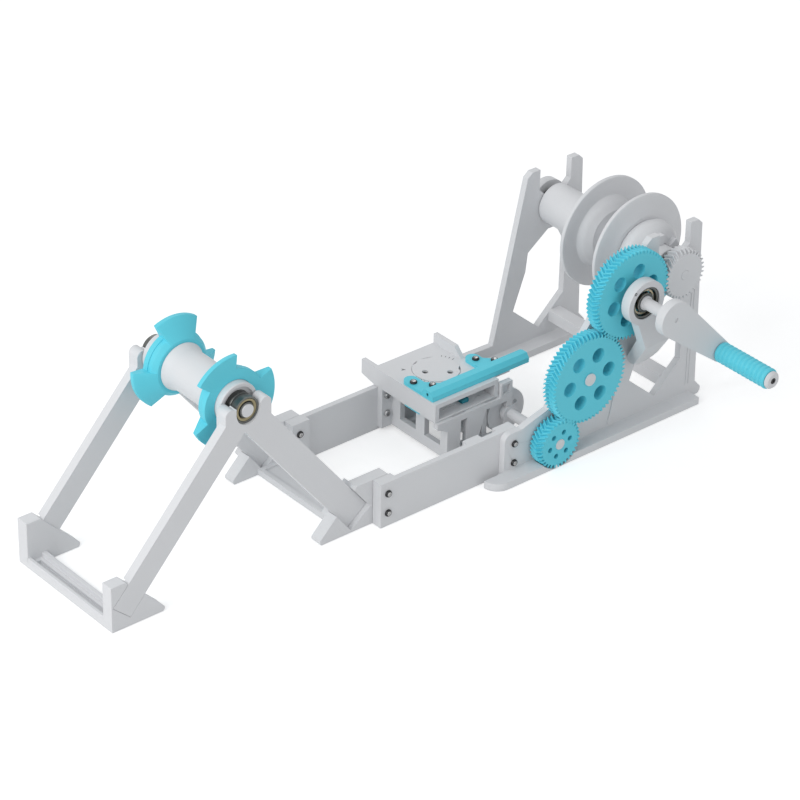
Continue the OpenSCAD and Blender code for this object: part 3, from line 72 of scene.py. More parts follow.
class Term:
    """A value socket of a node graph, on which Python's operators add Math nodes."""

    def __init__(self, graph: "Graph", socket: bpy.types.NodeSocket) -> None:
        """Keeps the socket and the graph it belongs to."""
        self.graph = graph
        self.socket = socket

    def _math(self, operation: str, *others: Union["Term", float]) -> "Term":
        """Adds one Math node that starts with this value."""
        inputs = {0: self}
        inputs.update({i + 1: other for i, other in enumerate(others)})
        return self.graph.add("ShaderNodeMath", {"operation": operation}, inputs)

    def __add__(self, other: Union["Term", float]) -> "Term":
        """This value plus the other."""
        return self._math("ADD", other)

    __radd__ = __add__

    def __sub__(self, other: Union["Term", float]) -> "Term":
        """This value minus the other."""
        return self._math("SUBTRACT", other)

    def __rsub__(self, other: float) -> "Term":
        """A number minus this value."""
        return self.graph.add("ShaderNodeMath", {"operation": "SUBTRACT"}, {0: other, 1: self})

    def __mul__(self, other: Union["Term", float]) -> "Term":
        """This value times the other."""
        return self._math("MULTIPLY", other)

    __rmul__ = __mul__

    def sine(self) -> "Term":
        """The sine of this value, in radians."""
        return self._math("SINE")

    def absolute(self) -> "Term":
        """This value without its sign."""
        return self._math("ABSOLUTE")

    def root(self) -> "Term":
        """The square root of this value."""
        return self._math("SQRT")

    def clamped(self) -> "Term":
        """This value held between nought and one."""
        return self.graph.add("ShaderNodeClamp", {}, {"Value": self})


class Graph:
    """The node tree of a material or a world, emptied and given its output."""

    def __init__(self, owner: Union[bpy.types.Material, bpy.types.World], output: str) -> None:
        """Empties the owner's tree and adds the output of that type."""
        owner.use_nodes = True
        self.tree = owner.node_tree
        self.tree.nodes.clear()
        self.output = self.tree.nodes.new(output)

    def add(
        self,
        kind: str,
        settings: Optional[Dict[str, object]] = None,
        inputs: Optional[Dict[Union[int, str], object]] = None,
        output: Union[int, str] = 0,
    ) -> Term:
        """Adds a node.

        Args:
            kind: The node's type.
            settings: Its own settings, set before its sockets.
            inputs: Values or links for its sockets, by name or number.
            output: The output that the result wraps.

        Returns:
            The chosen output.
        """
        node = self.tree.nodes.new(kind)
        for key, value in (settings or {}).items():
            setattr(node, key, value)
        for key, value in (inputs or {}).items():
            self.feed(node.inputs[key], value)
        return Term(self, node.outputs[output])

    def feed(self, socket: bpy.types.NodeSocket, value: object) -> None:
        """Links a term to a socket, or sets the socket's own value."""
        if isinstance(value, Term):
            self.tree.links.new(value.socket, socket)
        elif isinstance(value, tuple) and len(value) == 3 and socket.type == "RGBA":
            socket.default_value = (*value, 1.0)
        else:
            socket.default_value = value

    def finish(self, shader: Term) -> None:
        """Links a shader to the output."""
        self.feed(self.output.inputs[0], shader)

    def seen(self) -> Term:
        """One for the rays that see or mirror the set, and nought for those that light it."""
        rays = self.add("ShaderNodeLightPath").socket.node.outputs
        seen = Term(self, rays["Is Camera Ray"]) + Term(self, rays["Is Glossy Ray"])
        return (seen + Term(self, rays["Is Transmission Ray"])).clamped()


class Recipe(Graph):
    """One material under construction, with its shader ready to take inputs."""

    def __init__(self, name: str) -> None:
        """Starts a material of that name."""
        self.material = bpy.data.materials.new(name)
        super().__init__(self.material, "ShaderNodeOutputMaterial")
        self.shader = self.tree.nodes.new("ShaderNodeBsdfPrincipled")
        self.finish(Term(self, self.shader.outputs[0]))

    def place(self, centre: Point = (0.0, 0.0, 0.0)) -> Tuple[Term, Term, Term, Term]:
        """The surface point from a centre.

        Args:
            centre: The centre, in metres.

        Returns:
            The point as a vector, and its X, Y and Z.
        """
        coords = self.add("ShaderNodeTexCoord", output="Object")
        moved = self.add(
            "ShaderNodeMapping",
            {"vector_type": "POINT"},
            {"Vector": coords, "Location": tuple(-c for c in centre)},
        )
        split = self.add("ShaderNodeSeparateXYZ", {}, {0: moved})
        parts = [Term(self, split.socket.node.outputs[i]) for i in range(3)]
        return moved, parts[0], parts[1], parts[2]

    def noise(
        self, point: Term, scale: float, detail: float = 2.0, roughness: float = 0.5
    ) -> Term:
        """A cloudy pattern between nought and one, with its scale per metre."""
        return self.add(
            "ShaderNodeTexNoise",
            {"noise_dimensions": "3D"},
            {"Vector": point, "Scale": scale, "Detail": detail, "Roughness": roughness},
            "Fac",
        )

    def blend(self, amount: Term, low: Colour, high: Colour) -> Term:
        """A colour between two colours, through the colour sockets of a Mix node."""
        return self.add("ShaderNodeMix", {"data_type": "RGBA"}, {0: amount, 6: low, 7: high}, 2)

    def bump(self, height: Term, distance: float, strength: float) -> None:
        """Feeds a height, in parts of the distance, to the shader's normal."""
        inputs = {"Height": height, "Distance": distance, "Strength": strength}
        self.set("Normal", self.add("ShaderNodeBump", {}, inputs))

    def set(self, socket: str, value: object) -> None:
        """Sets or links one of the shader's sockets."""
        self.feed(self.shader.inputs[socket], value)


def tinted(colour: Colour, factor: float) -> Colour:
    """A colour made lighter or darker by a factor, kept between nought and one."""
    return tuple(min(1.0, max(0.0, c * factor)) for c in colour)


def middle(node: str) -> Point:
    """The centre of a node's box."""
    low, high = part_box(node)
    return tuple((a + b) / 2 for a, b in zip(low, high))


# The paint slot of a piece, by a word in the name of its first finish.
SLOTS: Dict[str, str] = {
    "white": "printed_white",
    # recess is the near-black painted-shade finish.
    "recess": "printed_white",
    "teal": "printed_teal",
    "dark_steel": "bearing_steel",
    "oxide": "screw_steel",
    "zinc": "screw_steel",
}


@dataclass(frozen=True)
class PrintedPlastic:
    """Satin plastic laid down in fine layers, with a fine hatch on its flat tops."""

    name: str
    colour: Colour
    stack: Stack
    layer: float = 0.24 * MM
    hatch: float = 0.55 * MM
    gloss: Flat = (0.40, 0.58)
    tones: Flat = (0.955, 1.03)
    wander_scale: float = 55.0
    cloud_scale: float = 22.0
    fine_scale: float = 900.0
    relief: float = 0.03 * MM
    relief_strength: float = 0.55
    refraction: float = 1.46

    def build(self) -> bpy.types.Material:
        """The finish as a material."""
        recipe = Recipe(self.name)
        point, x, y, z = recipe.place()
        axis, *others = {Stack.ALONG_Y: (y, x, z), Stack.ALONG_Z: (z, x, y)}[self.stack]
        wander = recipe.noise(point, self.wander_scale, detail=3.0) * 0.35
        layers = ((axis * (math.pi / self.layer)) + wander).sine().absolute()
        lines = (((others[0] + others[1]) * (math.pi / self.hatch)) + wander).sine().absolute()
        cloud = recipe.noise(point, self.cloud_scale, detail=4.0, roughness=0.6)
        fine = recipe.noise(point, self.fine_scale)
        tone = (cloud * 0.7 + fine * 0.3).clamped()
        low, high = (tinted(self.colour, factor) for factor in self.tones)
        recipe.set("Base Color", recipe.blend(tone, low, high))
        dull = fine * 0.4 + layers * 0.35 + cloud * 0.25
        recipe.set("Roughness", dull * (self.gloss[1] - self.gloss[0]) + self.gloss[0])
        recipe.set("IOR", self.refraction)
        height = layers * 0.6 + lines * 0.25 + fine * 0.3
        recipe.bump(height, self.relief, self.relief_strength)
        return recipe.material


@dataclass(frozen=True)
class TurnedSteel:
    """Ground metal with fine rings about an axis along Y."""

    name: str
    colour: Colour
    centre: Point
    rough: float = 0.24
    ring: float = 0.35 * MM
    tones: Flat = (0.86, 1.08)
    wander_scale: float = 260.0
    smudge_scale: float = 130.0
    relief: float = 0.01 * MM
    relief_strength: float = 0.4

    def build(self) -> bpy.types.Material:
        """The finish as a material."""
        recipe = Recipe(self.name)
        point, x, _, z = recipe.place(self.centre)
        radius = (x * x + z * z).root()
        wander = recipe.noise(point, self.wander_scale, detail=3.0)
        rings = ((radius * (2 * math.pi / self.ring)) + wander * 2.5).sine() * 0.5 + 0.5
        smudge = recipe.noise(point, self.smudge_scale, detail=4.0, roughness=0.6)
        tone = (rings * 0.4 + smudge * 0.6).clamped()
        low, high = (tinted(self.colour, factor) for factor in self.tones)
        recipe.set("Base Color", recipe.blend(tone, low, high))
        recipe.set("Metallic", 1.0)
        recipe.set("Roughness", smudge * 0.14 + rings * 0.06 + self.rough)
        recipe.bump(rings * 0.5 + wander * 0.5, self.relief, self.relief_strength)
        return recipe.material


@dataclass(frozen=True)
class ScrewSteel:
    """Oxide-finished screw steel with small bright wear."""

    name: str
    colour: Colour
    rough: float = 0.34
    metallic: float = 0.9
    cloud_scale: float = 700.0
    fine_scale: float = 3800.0
    wear_level: float = 0.52
    wear_gain: float = 5.0
    wear_factor: float = 2.0
    relief: float = 0.01 * MM
    relief_strength: float = 0.5

    def build(self) -> bpy.types.Material:
        """The finish as a material."""
        recipe = Recipe(self.name)
        point, _, _, _ = recipe.place()
        cloud = recipe.noise(point, self.cloud_scale, detail=4.0, roughness=0.6)
        fine = recipe.noise(point, self.fine_scale)
        wear = ((cloud - self.wear_level) * self.wear_gain).clamped()
        worn = tinted(self.colour, self.wear_factor)
        recipe.set("Base Color", recipe.blend(wear, self.colour, worn))
        recipe.set("Metallic", self.metallic)
        recipe.set("Roughness", fine * 0.2 + self.rough)
        recipe.bump(fine, self.relief, self.relief_strength)
        return recipe.material


@dataclass
class Finishes:
    """Every finish of the winder, built once."""

    white: Colour = (0.73, 0.735, 0.75)
    teal: Colour = (0.12, 0.655, 0.79)
    shaded_teal: Colour = (0.02, 0.24, 0.31)
    steel: Colour = (0.50, 0.49, 0.47)
    dark_steel: Colour = (0.15, 0.155, 0.15)
    shield_brass: Colour = (0.27, 0.235, 0.145)
    cage_brass: Colour = (0.55, 0.47, 0.33)
    oxide: Colour = (0.045, 0.045, 0.047)
    # A light steel for the oxide screws' recesses, a painted highlight.
    socket: Colour = (0.58, 0.58, 0.58)
    zinc: Colour = (0.34, 0.345, 0.35)
    # Painted shade: a near-black tone for hole floors, the dial's rim gaps, the rings behind
    # bearing shields and the scale marks.
    recess: Colour = (0.10, 0.105, 0.11)
    built: Dict[str, bpy.types.Material] = field(default_factory=dict)

    def prepare(self, bearings: Sequence["BallBearing"]) -> None:
        """Builds the materials.

        Args:
            bearings: The bearings, each of which gets its own metals about its own axis.
        """
        for stack in Stack:
            for tone, colour in (("white", self.white), ("teal", self.teal)):
                name = f"{tone}_{stack.value.lower()}"
                self.built[name] = PrintedPlastic(f"printed_{name}", colour, stack).build()
        colours = {
            "steel": self.steel,
            "dark_steel": self.dark_steel,
            "shield_brass": self.shield_brass,
            "cage_brass": self.cage_brass,
        }
        for bearing in bearings:
            for metal in bearing.metals():
                full = f"{metal}_{bearing.name}"
                centre = middle(bearing.rings_node)
                self.built[full] = TurnedSteel(f"bearing_{full}", colours[metal], centre).build()
        self.built["oxide"] = ScrewSteel("screw_oxide", self.oxide).build()
        # The light socket steel paints the glint inside the oxide screws' recesses.
        self.built["socket"] = ScrewSteel("screw_socket", self.socket, 0.28).build()
        self.built["zinc"] = ScrewSteel("screw_zinc", self.zinc, 0.36).build()
        # The recess finish is painted shade, and the shaded teal is a darker copy of the teal, also
        # painted shade.
        for name, colour in (("recess", self.recess), ("shaded_teal", self.shaded_teal)):
            self.built[name] = PrintedPlastic(f"printed_{name}", colour, Stack.ALONG_Z).build()

    def __getitem__(self, name: str) -> bpy.types.Material:
        """The finish of that name."""
        return self.built[name]


def soften(thing: bpy.types.Object, width: float) -> None:
    """Rounds a thing's sharp edges over a width in metres."""
    weld = thing.modifiers.new("weld", "WELD")
    weld.merge_threshold = WELD_DISTANCE
    bevel = thing.modifiers.new("soft_edges", "BEVEL")
    bevel.width = width
    bevel.segments = 2
    bevel.limit_method = "ANGLE"
    bevel.angle_limit = SOFT_ANGLE


class Dresser:
    """Gives the frame's own nodes their finishes and soft edges."""

    def __init__(self, finishes: Finishes) -> None:
        """Keeps the finishes."""
        self.finishes = finishes

    def dress(self, node: str, finish: str, edge: float) -> None:
        """Puts a finish on a node.

        Args:
            node: The node's name.
            finish: The finish's name.
            edge: The width of the softened edges, in metres, or nought for none.
        """
        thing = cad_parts[node]
        thing.data.materials.clear()
        thing.data.materials.append(self.finishes[finish])
        if edge > 0.0:
            soften(thing, edge)
        LOG.info("dressed %s with %s", node, finish)


class Shop:
    """Makes pieces of the shapes that the other classes model."""

    def __init__(self, finishes: Finishes) -> None:
        """Keeps the finishes."""
        self.finishes = finishes

    def piece(
        self,
        name: str,
        shape: bmesh.types.BMesh,
        body: str,
        finishes: Sequence[str],
        replaced: Sequence[str] = (),
        edge: float = 0.0,
    ) -> None:
        """Turns a shape into a piece of the winder.

        Args:
            name: The piece's name.
            shape: Its shape, which is used up.
            body: The body it rides on.
            finishes: Its finishes, in the order of the faces' material numbers.
            replaced: The frame's nodes that it stands for.
            edge: The width of its softened edges, in metres, or nought for none.
        """
        bmesh.ops.remove_doubles(shape, verts=shape.verts, dist=MERGE_DISTANCE)
        bmesh.ops.recalc_face_normals(shape, faces=shape.faces)
        mesh = bpy.data.meshes.new(name)
        shape.to_mesh(mesh)
        shape.free()
        mesh.shade_smooth()
        mesh.set_sharp_from_angle(angle=SHARP_ANGLE)
        for finish in finishes:
            mesh.materials.append(self.finishes[finish])
        thing = bpy.data.objects.new(name, mesh)
        bpy.context.scene.collection.objects.link(thing)
        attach(thing, body)
        next(slot for word, slot in SLOTS.items() if word in finishes[0])
        if edge > 0.0:
            soften(thing, edge)
        if replaced:
            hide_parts(*replaced)
        LOG.info("made %s on %s with %d faces", name, body, len(mesh.polygons))


class Lathe:
    """Turns closed outlines about an axis that runs along Y."""

    def __init__(self, shape: bmesh.types.BMesh, centre: Flat, steps: int = 72) -> None:
        """Keeps the shape to add to and the axis's X and Z."""
        self.shape = shape
        self.centre = centre
        self.steps = steps

    def turn(self, outline: Sequence[Flat], place: float, finish: int = 0) -> None:
        """Turns one outline.

        Args:
            outline: Its corners, as radius and depth along Y.
            place: The Y that depth is counted from.
            finish: The material number of its faces.
        """
        known = set(self.shape.faces)
        corners = [
            self.shape.verts.new((self.centre[0] + radius, place + depth, self.centre[1]))
            for radius, depth in outline
        ]
        edges = [self.shape.edges.new(pair) for pair in zip(corners, corners[1:] + corners[:1])]
        bmesh.ops.spin(
            self.shape,
            geom=corners + edges,
            cent=(self.centre[0], place, self.centre[1]),
            axis=(0.0, 1.0, 0.0),
            angle=2.0 * math.pi,
            steps=self.steps,
            use_merge=True,
        )
        for face in self.shape.faces:
            if face not in known:
                face.material_index = finish


def cut_plate(
    shape: bmesh.types.BMesh,
    outer: Sequence[Flat],
    holes: Sequence[Sequence[Flat]],
    low: float,
    high: float,
    finish: int = 0,
) -> None:
    """Adds a level plate with holes right through it.

    Args:
        shape: The mesh to add to.
        outer: The outline's corners, as X and Y.
        holes: The outlines of the holes.
        low: The Z of its underside.
        high: The Z of its top.
        finish: The material number of its faces.
    """
    edges = []
    for outline in (outer, *holes):
        corners = [shape.verts.new((x, y, high)) for x, y in outline]
        edges.extend(shape.edges.new(pair) for pair in zip(corners, corners[1:] + corners[:1]))
    filled = bmesh.ops.triangle_fill(shape, use_beauty=True, use_dissolve=False, edges=edges)
    faces = [item for item in filled["geom"] if isinstance(item, bmesh.types.BMFace)]
    made = bmesh.ops.extrude_face_region(shape, geom=faces)["geom"]
    moved = [item for item in made if isinstance(item, bmesh.types.BMVert)]
    bmesh.ops.translate(shape, verts=moved, vec=(0.0, 0.0, low - high))
    for face in {face for vert in moved for face in vert.link_faces} | set(faces):
        face.material_index = finish


def polar(centre: Flat, radius: float, turn: float) -> Flat:
    """The point at a radius and an angle, in radians, from a centre."""
    return centre[0] + radius * math.cos(turn), centre[1] + radius * math.sin(turn)


def round_outline(centre: Flat, radius: float, steps: int = 40) -> List[Flat]:
    """The corners of a circle."""
    return [polar(centre, radius, 2.0 * math.pi * i / steps) for i in range(steps)]


def box_outline(low: Flat, high: Flat) -> List[Flat]:
    """The corners of a rectangle."""
    return [(low[0], low[1]), (high[0], low[1]), (high[0], high[1]), (low[0], high[1])]


def stacked_rings(
    shape: bmesh.types.BMesh, rings: Sequence[Flat], steps: int, place: Matrix
) -> List[List[bmesh.types.BMVert]]:
    """Adds round rings one above the other, of which the first and the last are capped.

    Args:
        shape: The mesh to add to.
        rings: Radius and height of each ring.
        steps: The number of sides.
        place: Where they stand, with their axis along its Z.

    Returns:
        Each ring's corners.
    """
    ends = (0, len(rings) - 1)
    return [
        bmesh.ops.create_circle(
            shape, cap_ends=number in ends, segments=steps, radius=radius,
            matrix=place @ Matrix.Translation((0.0, 0.0, level)),
        )["verts"]
        for number, (radius, level) in enumerate(rings)
    ]


def ring_edges(corners: Sequence[bmesh.types.BMVert]) -> List[bmesh.types.BMEdge]:
    """The edges that join a ring's corners."""
    known = set(corners)
    return list({e for vert in corners for e in vert.link_edges if e.other_vert(vert) in known})


def stepped_plug(
    shape: bmesh.types.BMesh, rings: Sequence[Flat], centre: Point, outward: Point, steps: int = 32
) -> None:
    """Adds a round closed plug with a recess.

    Args:
        shape: The mesh to add to.
        rings: Radius and height of each ring, from the buried end to the recess's floor.
        centre: The middle of its seat.
        outward: The direction that it faces.
        steps: The number of sides.
    """
    turn = Vector(outward).to_track_quat("Z", "Y").to_matrix().to_4x4()
    loops = stacked_rings(shape, rings, steps, Matrix.Translation(centre) @ turn)
    for one, two in zip(loops, loops[1:]):
        bmesh.ops.bridge_loops(shape, edges=ring_edges(one) + ring_edges(two))


@dataclass
class BallBearing:
    """A pair of rings with a shield or an open cage of balls between them."""

    name: str
    rings_node: str
    cores_node: str
    core_body: str
    outer: float
    bore: float
    width: float
    ring_body: str = "stand"
    open_cage: bool = False
    balls: int = 8
    lip: float = 1.5 * MM
    inner: float = 2.3 * MM
    chamfer: float = 0.35 * MM
    race: Tuple[float, float, float] = (0.32, 0.5, 0.68)
    sink: float = 0.45 * MM
    shield_t: float = 0.35 * MM
    shield_gap: float = 0.6 * MM
    shield_rim: float = 0.35 * MM
    shield_step: float = 0.3
    curl: Tuple[float, float, float] = (1.7, 2.2, 2.6)
    # Place of the dark ring of painted shade behind each shield.
    shade_ring_sink: float = 3.2
    shade_ring_lap: float = 0.02 * MM
    shade_ring_over: float = 0.3 * MM
    ball_fit: float = 0.98
    ball_phase: float = 0.35
    band_share: float = 0.42
    band_place: float = 0.78
    band_half: float = 0.2 * MM

    @property
    def near(self) -> float:
        """The radius of the inner ring's raceway."""
        return self.bore / 2 + self.inner

    @property
    def far(self) -> float:
        """The radius of the outer ring's raceway."""
        return self.outer / 2 - self.lip

    def metals(self) -> Tuple[str, ...]:
        """The metals that it is made of."""
        return ("dark_steel", *(("cage_brass", "steel") if self.open_cage else ("shield_brass",)))

    def build(self, shop: Shop) -> None:
        """Makes the outer and inner rings of every bearing of the node."""
        low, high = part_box(self.rings_node)
        x, _, z = middle(self.rings_node)
        places = sorted({round(low[1], 6), round(high[1] - self.width, 6)})
        outer, inner = bmesh.new(), bmesh.new()
        for place in places:
            self._ring(Lathe(outer, (x, z)), place, self.far, self.outer / 2)
            if self.open_cage:
                self._cage(Lathe(outer, (x, z)), place)
            else:
                self._shields(Lathe(outer, (x, z)), place)
            self._ring(Lathe(inner, (x, z)), place, self.near, self.bore / 2)
        tones = [f"{metal}_{self.name}" for metal in self.metals()]
        # A shielded bearing's third finish is the painted shade behind its shields.
        if not self.open_cage:
            tones.append("recess")
        name = f"{self.name}_bearing"
        shop.piece(f"{name}_outer", outer, self.ring_body, tones, [self.rings_node])
        shop.piece(f"{name}_inner", inner, self.core_body, tones[:1], [self.cores_node])

    def _ring(self, lathe: Lathe, place: float, race: float, back: float) -> None:
        """Turns one ring, from the radius of its raceway to that of its back."""
        w, c = self.width, self.chamfer
        s = math.copysign(c, back - race)
        start, deep, end = (w * share for share in self.race)
        lathe.turn(
            [
                (race + s, 0), (back - s, 0), (back, c), (back, w - c), (back - s, w),
                (race + s, w), (race, w - c), (race, end), (race + s, deep), (race, start),
                (race, c),
            ],
            place,
        )

    def _shields(self, lathe: Lathe, place: float) -> None:
        """Turns the stepped shields at both faces, and behind each a dark ring of painted shade."""
        near, far = self.near + self.shield_gap, self.far - self.shield_rim
        step = near + (far - near) * self.shield_step
        wall, back = self.far + self.shade_ring_lap, self.shade_ring_sink * self.sink
        foot = near - self.shade_ring_over
        for face, sign in ((place, 1.0), (place + self.width, -1.0)):
            lathe.turn(
                [
                    (near, sign * self.curl[1] * self.sink),
                    (near + self.shield_t, sign * self.curl[0] * self.sink),
                    (step, sign * self.sink),
                    (far, sign * self.sink),
                    (far, sign * (self.sink + self.shield_t)),
                    (step + self.shield_t, sign * (self.sink + self.shield_t)),
                    (near + self.shield_t, sign * self.curl[2] * self.sink),
                ],
                face,
                1,
            )
            # The dark ring of painted shade, seen through the gap at the shield's inner edge.
            lathe.turn(
                [
                    (foot, sign * back), (wall, sign * back),
                    (wall, sign * (back + self.shield_t)), (foot, sign * (back + self.shield_t)),
                ],
                face,
                2,
            )

    def _cage(self, lathe: Lathe, place: float) -> None:
        """Sets the balls in their ribbon cage."""
        pitch, ball = (self.near + self.far) / 2, (self.far - self.near) / 2 * self.ball_fit
        band, half = ball * self.band_share, self.band_half
        for side in (-1.0, 1.0):
            depth = self.width / 2 + side * ball * self.band_place
            outline = box_outline((pitch - band, depth - half), (pitch + band, depth + half))
            lathe.turn(outline, place, 1)
        for i in range(self.balls):
            turn = 2.0 * math.pi * (i + self.ball_phase) / self.balls
            x, z = polar(lathe.centre, pitch, turn)
            made = bmesh.ops.create_uvsphere(
                lathe.shape, u_segments=20, v_segments=12, radius=ball,
                matrix=Matrix.Translation((x, place + self.width / 2, z)),
            )
            for face in {face for vert in made["verts"] for face in vert.link_faces}:
                face.material_index = 2


@dataclass
class SocketScrews:
    """The hex socket screws of one node, modelled with rounded heads and hex recesses, the oxide
    screws' recesses lined with a light steel as a painted highlight.
    """

    node: str
    body: str
    finish: str = "oxide"
    segments: int = 24
    tall_share: float = 0.66
    shank_share: float = 0.5
    tip_share: float = 0.8
    tip: float = 0.3 * MM
    brim: float = 0.15 * MM
    dome: Tuple[Flat, ...] = ((1.0, 0.55), (0.86, 0.93), (0.72, 1.0))
    socket: float = 1.62 * MM
    socket_mouth: float = 1.12
    socket_edge: float = 0.12 * MM
    socket_floor: float = 0.45
    hex_scale: float = 1.1
    same_point: float = 0.002 * MM
    same_level: float = 0.05 * MM

    def build(self, shop: Shop) -> None:
        """Makes a detailed screw in the place of each of the node's screws."""
        shape = bmesh.new()
        for low, high, axis, outward in self._screws():
            self._screw(shape, low, high, axis, outward)
        # On oxide screws the recess takes the light socket steel, a painted highlight.
        inside = "socket" if self.finish == "oxide" else self.finish
        shop.piece(f"{self.node}_detail", shape, self.body, [self.finish, inside], [self.node])

    def _screws(self) -> Iterable[Tuple[Vector, Vector, int, float]]:
        """Each screw's box, its long axis, and which end the head is at."""
        plain = bmesh.new()
        plain.from_mesh(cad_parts[self.node].data)
        bmesh.ops.remove_doubles(plain, verts=plain.verts, dist=self.same_point)
        left = set(plain.verts)
        found = []
        while left:
            island, edge = set(), [min(left, key=lambda v: v.index)]
            while edge:
                vert = edge.pop()
                if vert in island:
                    continue
                island.add(vert)
                edge.extend(e.other_vert(vert) for e in vert.link_edges)
            left -= island
            found.append([vert.co.copy() for vert in island])
        plain.free()
        found.sort(key=lambda points: tuple(round(c, 5) for c in box_of(points)[0]))
        for points in found:
            low, high = box_of(points)
            size, core = high - low, (low + high) / 2
            axis = max(range(3), key=lambda i: size[i])
            reach = {}
            for sign, level in ((-1.0, low[axis]), (1.0, high[axis])):
                end = [p - core for p in points if abs(p[axis] - level) < self.same_level]
                for arm in end:
                    arm[axis] = 0.0
                reach[sign] = max(arm.length for arm in end)
            yield low, high, axis, (1.0 if reach[1.0] > reach[-1.0] else -1.0)

    def _screw(
        self, shape: bmesh.types.BMesh, low: Vector, high: Vector, axis: int, outward: float
    ) -> None:
        """Models one screw.

        Args:
            shape: The mesh to add to.
            low: The lowest corner of the plain screw.
            high: Its highest corner.
            axis: The number of its long axis.
            outward: One where the head is at the high end, and minus one at the low end.
        """
        size = high - low
        head = min(size[i] for i in range(3) if i != axis) / 2
        length, tall, shank = size[axis], head * self.tall_share, head * self.shank_share
        rings = [
            (shank * self.tip_share, tall - length), (shank, tall - length + self.tip),
            (shank, 0.0), (head - self.brim, 0.0), (head, self.brim),
            *((head * out, tall * up) for out, up in self.dome),
        ]
        recess = [
            (self.socket * self.socket_mouth, tall),
            (self.socket, tall - self.socket_edge), (self.socket, tall * self.socket_floor),
        ]
        direction = Vector([outward if i == axis else 0.0 for i in range(3)])
        seat = (low + high) / 2
        seat[axis] = (high[axis] if outward > 0 else low[axis]) - outward * tall
        place = Matrix.Translation(seat) @ direction.to_track_quat("Z", "Y").to_matrix().to_4x4()
        loops = stacked_rings(shape, rings + recess, self.segments, Matrix())
        for vert in (vert for loop in loops[len(rings):] for vert in loop):
            angle = math.atan2(vert.co.y, vert.co.x) % (math.pi / 3) - math.pi / 6
            factor = math.cos(math.pi / 6) / math.cos(angle) * self.hex_scale
            vert.co.x *= factor
            vert.co.y *= factor
        for number, (one, two) in enumerate(zip(loops, loops[1:])):
            bridged = bmesh.ops.bridge_loops(shape, edges=ring_edges(one) + ring_edges(two))
            for face in bridged["faces"]:
                face.material_index = 1 if number >= len(rings) else 0
        for face in {f for vert in loops[-1] for f in vert.link_faces}:
            face.material_index = 1
        bmesh.ops.transform(shape, matrix=place, verts=[vert for loop in loops for vert in loop])


def box_of(points: Sequence[Vector]) -> Tuple[Vector, Vector]:
    """The lowest and the highest corner of some points' box."""
    levels = list(zip(*points))
    return Vector([min(row) for row in levels]), Vector([max(row) for row in levels])


@dataclass
class CoreThread:
    """The coarse thread on the take-up core, between the two flanges."""

    pitch: float = 4.0 * MM
    rise: float = 1.1 * MM
    foot: float = 2.4 * MM
    crest: float = 0.9 * MM
    root: float = 0.15 * MM
    steps: int = 48

    def build(self, shop: Shop) -> None:
        """Sweeps one ridge round the core from flange to flange."""
        low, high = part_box("takeup_core")
        x, _, z = middle("takeup_core")
        radius = (high[0] - low[0]) / 2
        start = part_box("flange_front")[1][1] + self.pitch / 2
        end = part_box("flange_rear")[0][1] - self.pitch
        turns = max(1, int((end - start) / self.pitch))
        shape = bmesh.new()
        outline = (
            (-self.root, -self.foot / 2), (self.rise, -self.crest / 2),
            (self.rise, self.crest / 2), (-self.root, self.foot / 2),
        )
        corners = [
            shape.verts.new((x + radius + out, start + along, z))
            for out, along in outline
        ]
        edges = [shape.edges.new(pair) for pair in zip(corners, corners[1:] + corners[:1])]
        shape.faces.new(corners)
        swept = bmesh.ops.spin(
            shape,
            geom=corners + edges,
            cent=(x, start, z),
            axis=(0.0, 1.0, 0.0),
            dvec=(0.0, self.pitch / self.steps, 0.0),
            angle=2.0 * math.pi * turns,
            steps=self.steps * turns,
        )
        last = [item for item in swept["geom_last"] if isinstance(item, bmesh.types.BMVert)]
        bmesh.ops.contextual_create(shape, geom=last)
        shop.piece("core_thread", shape, "takeup", ["white_y"])


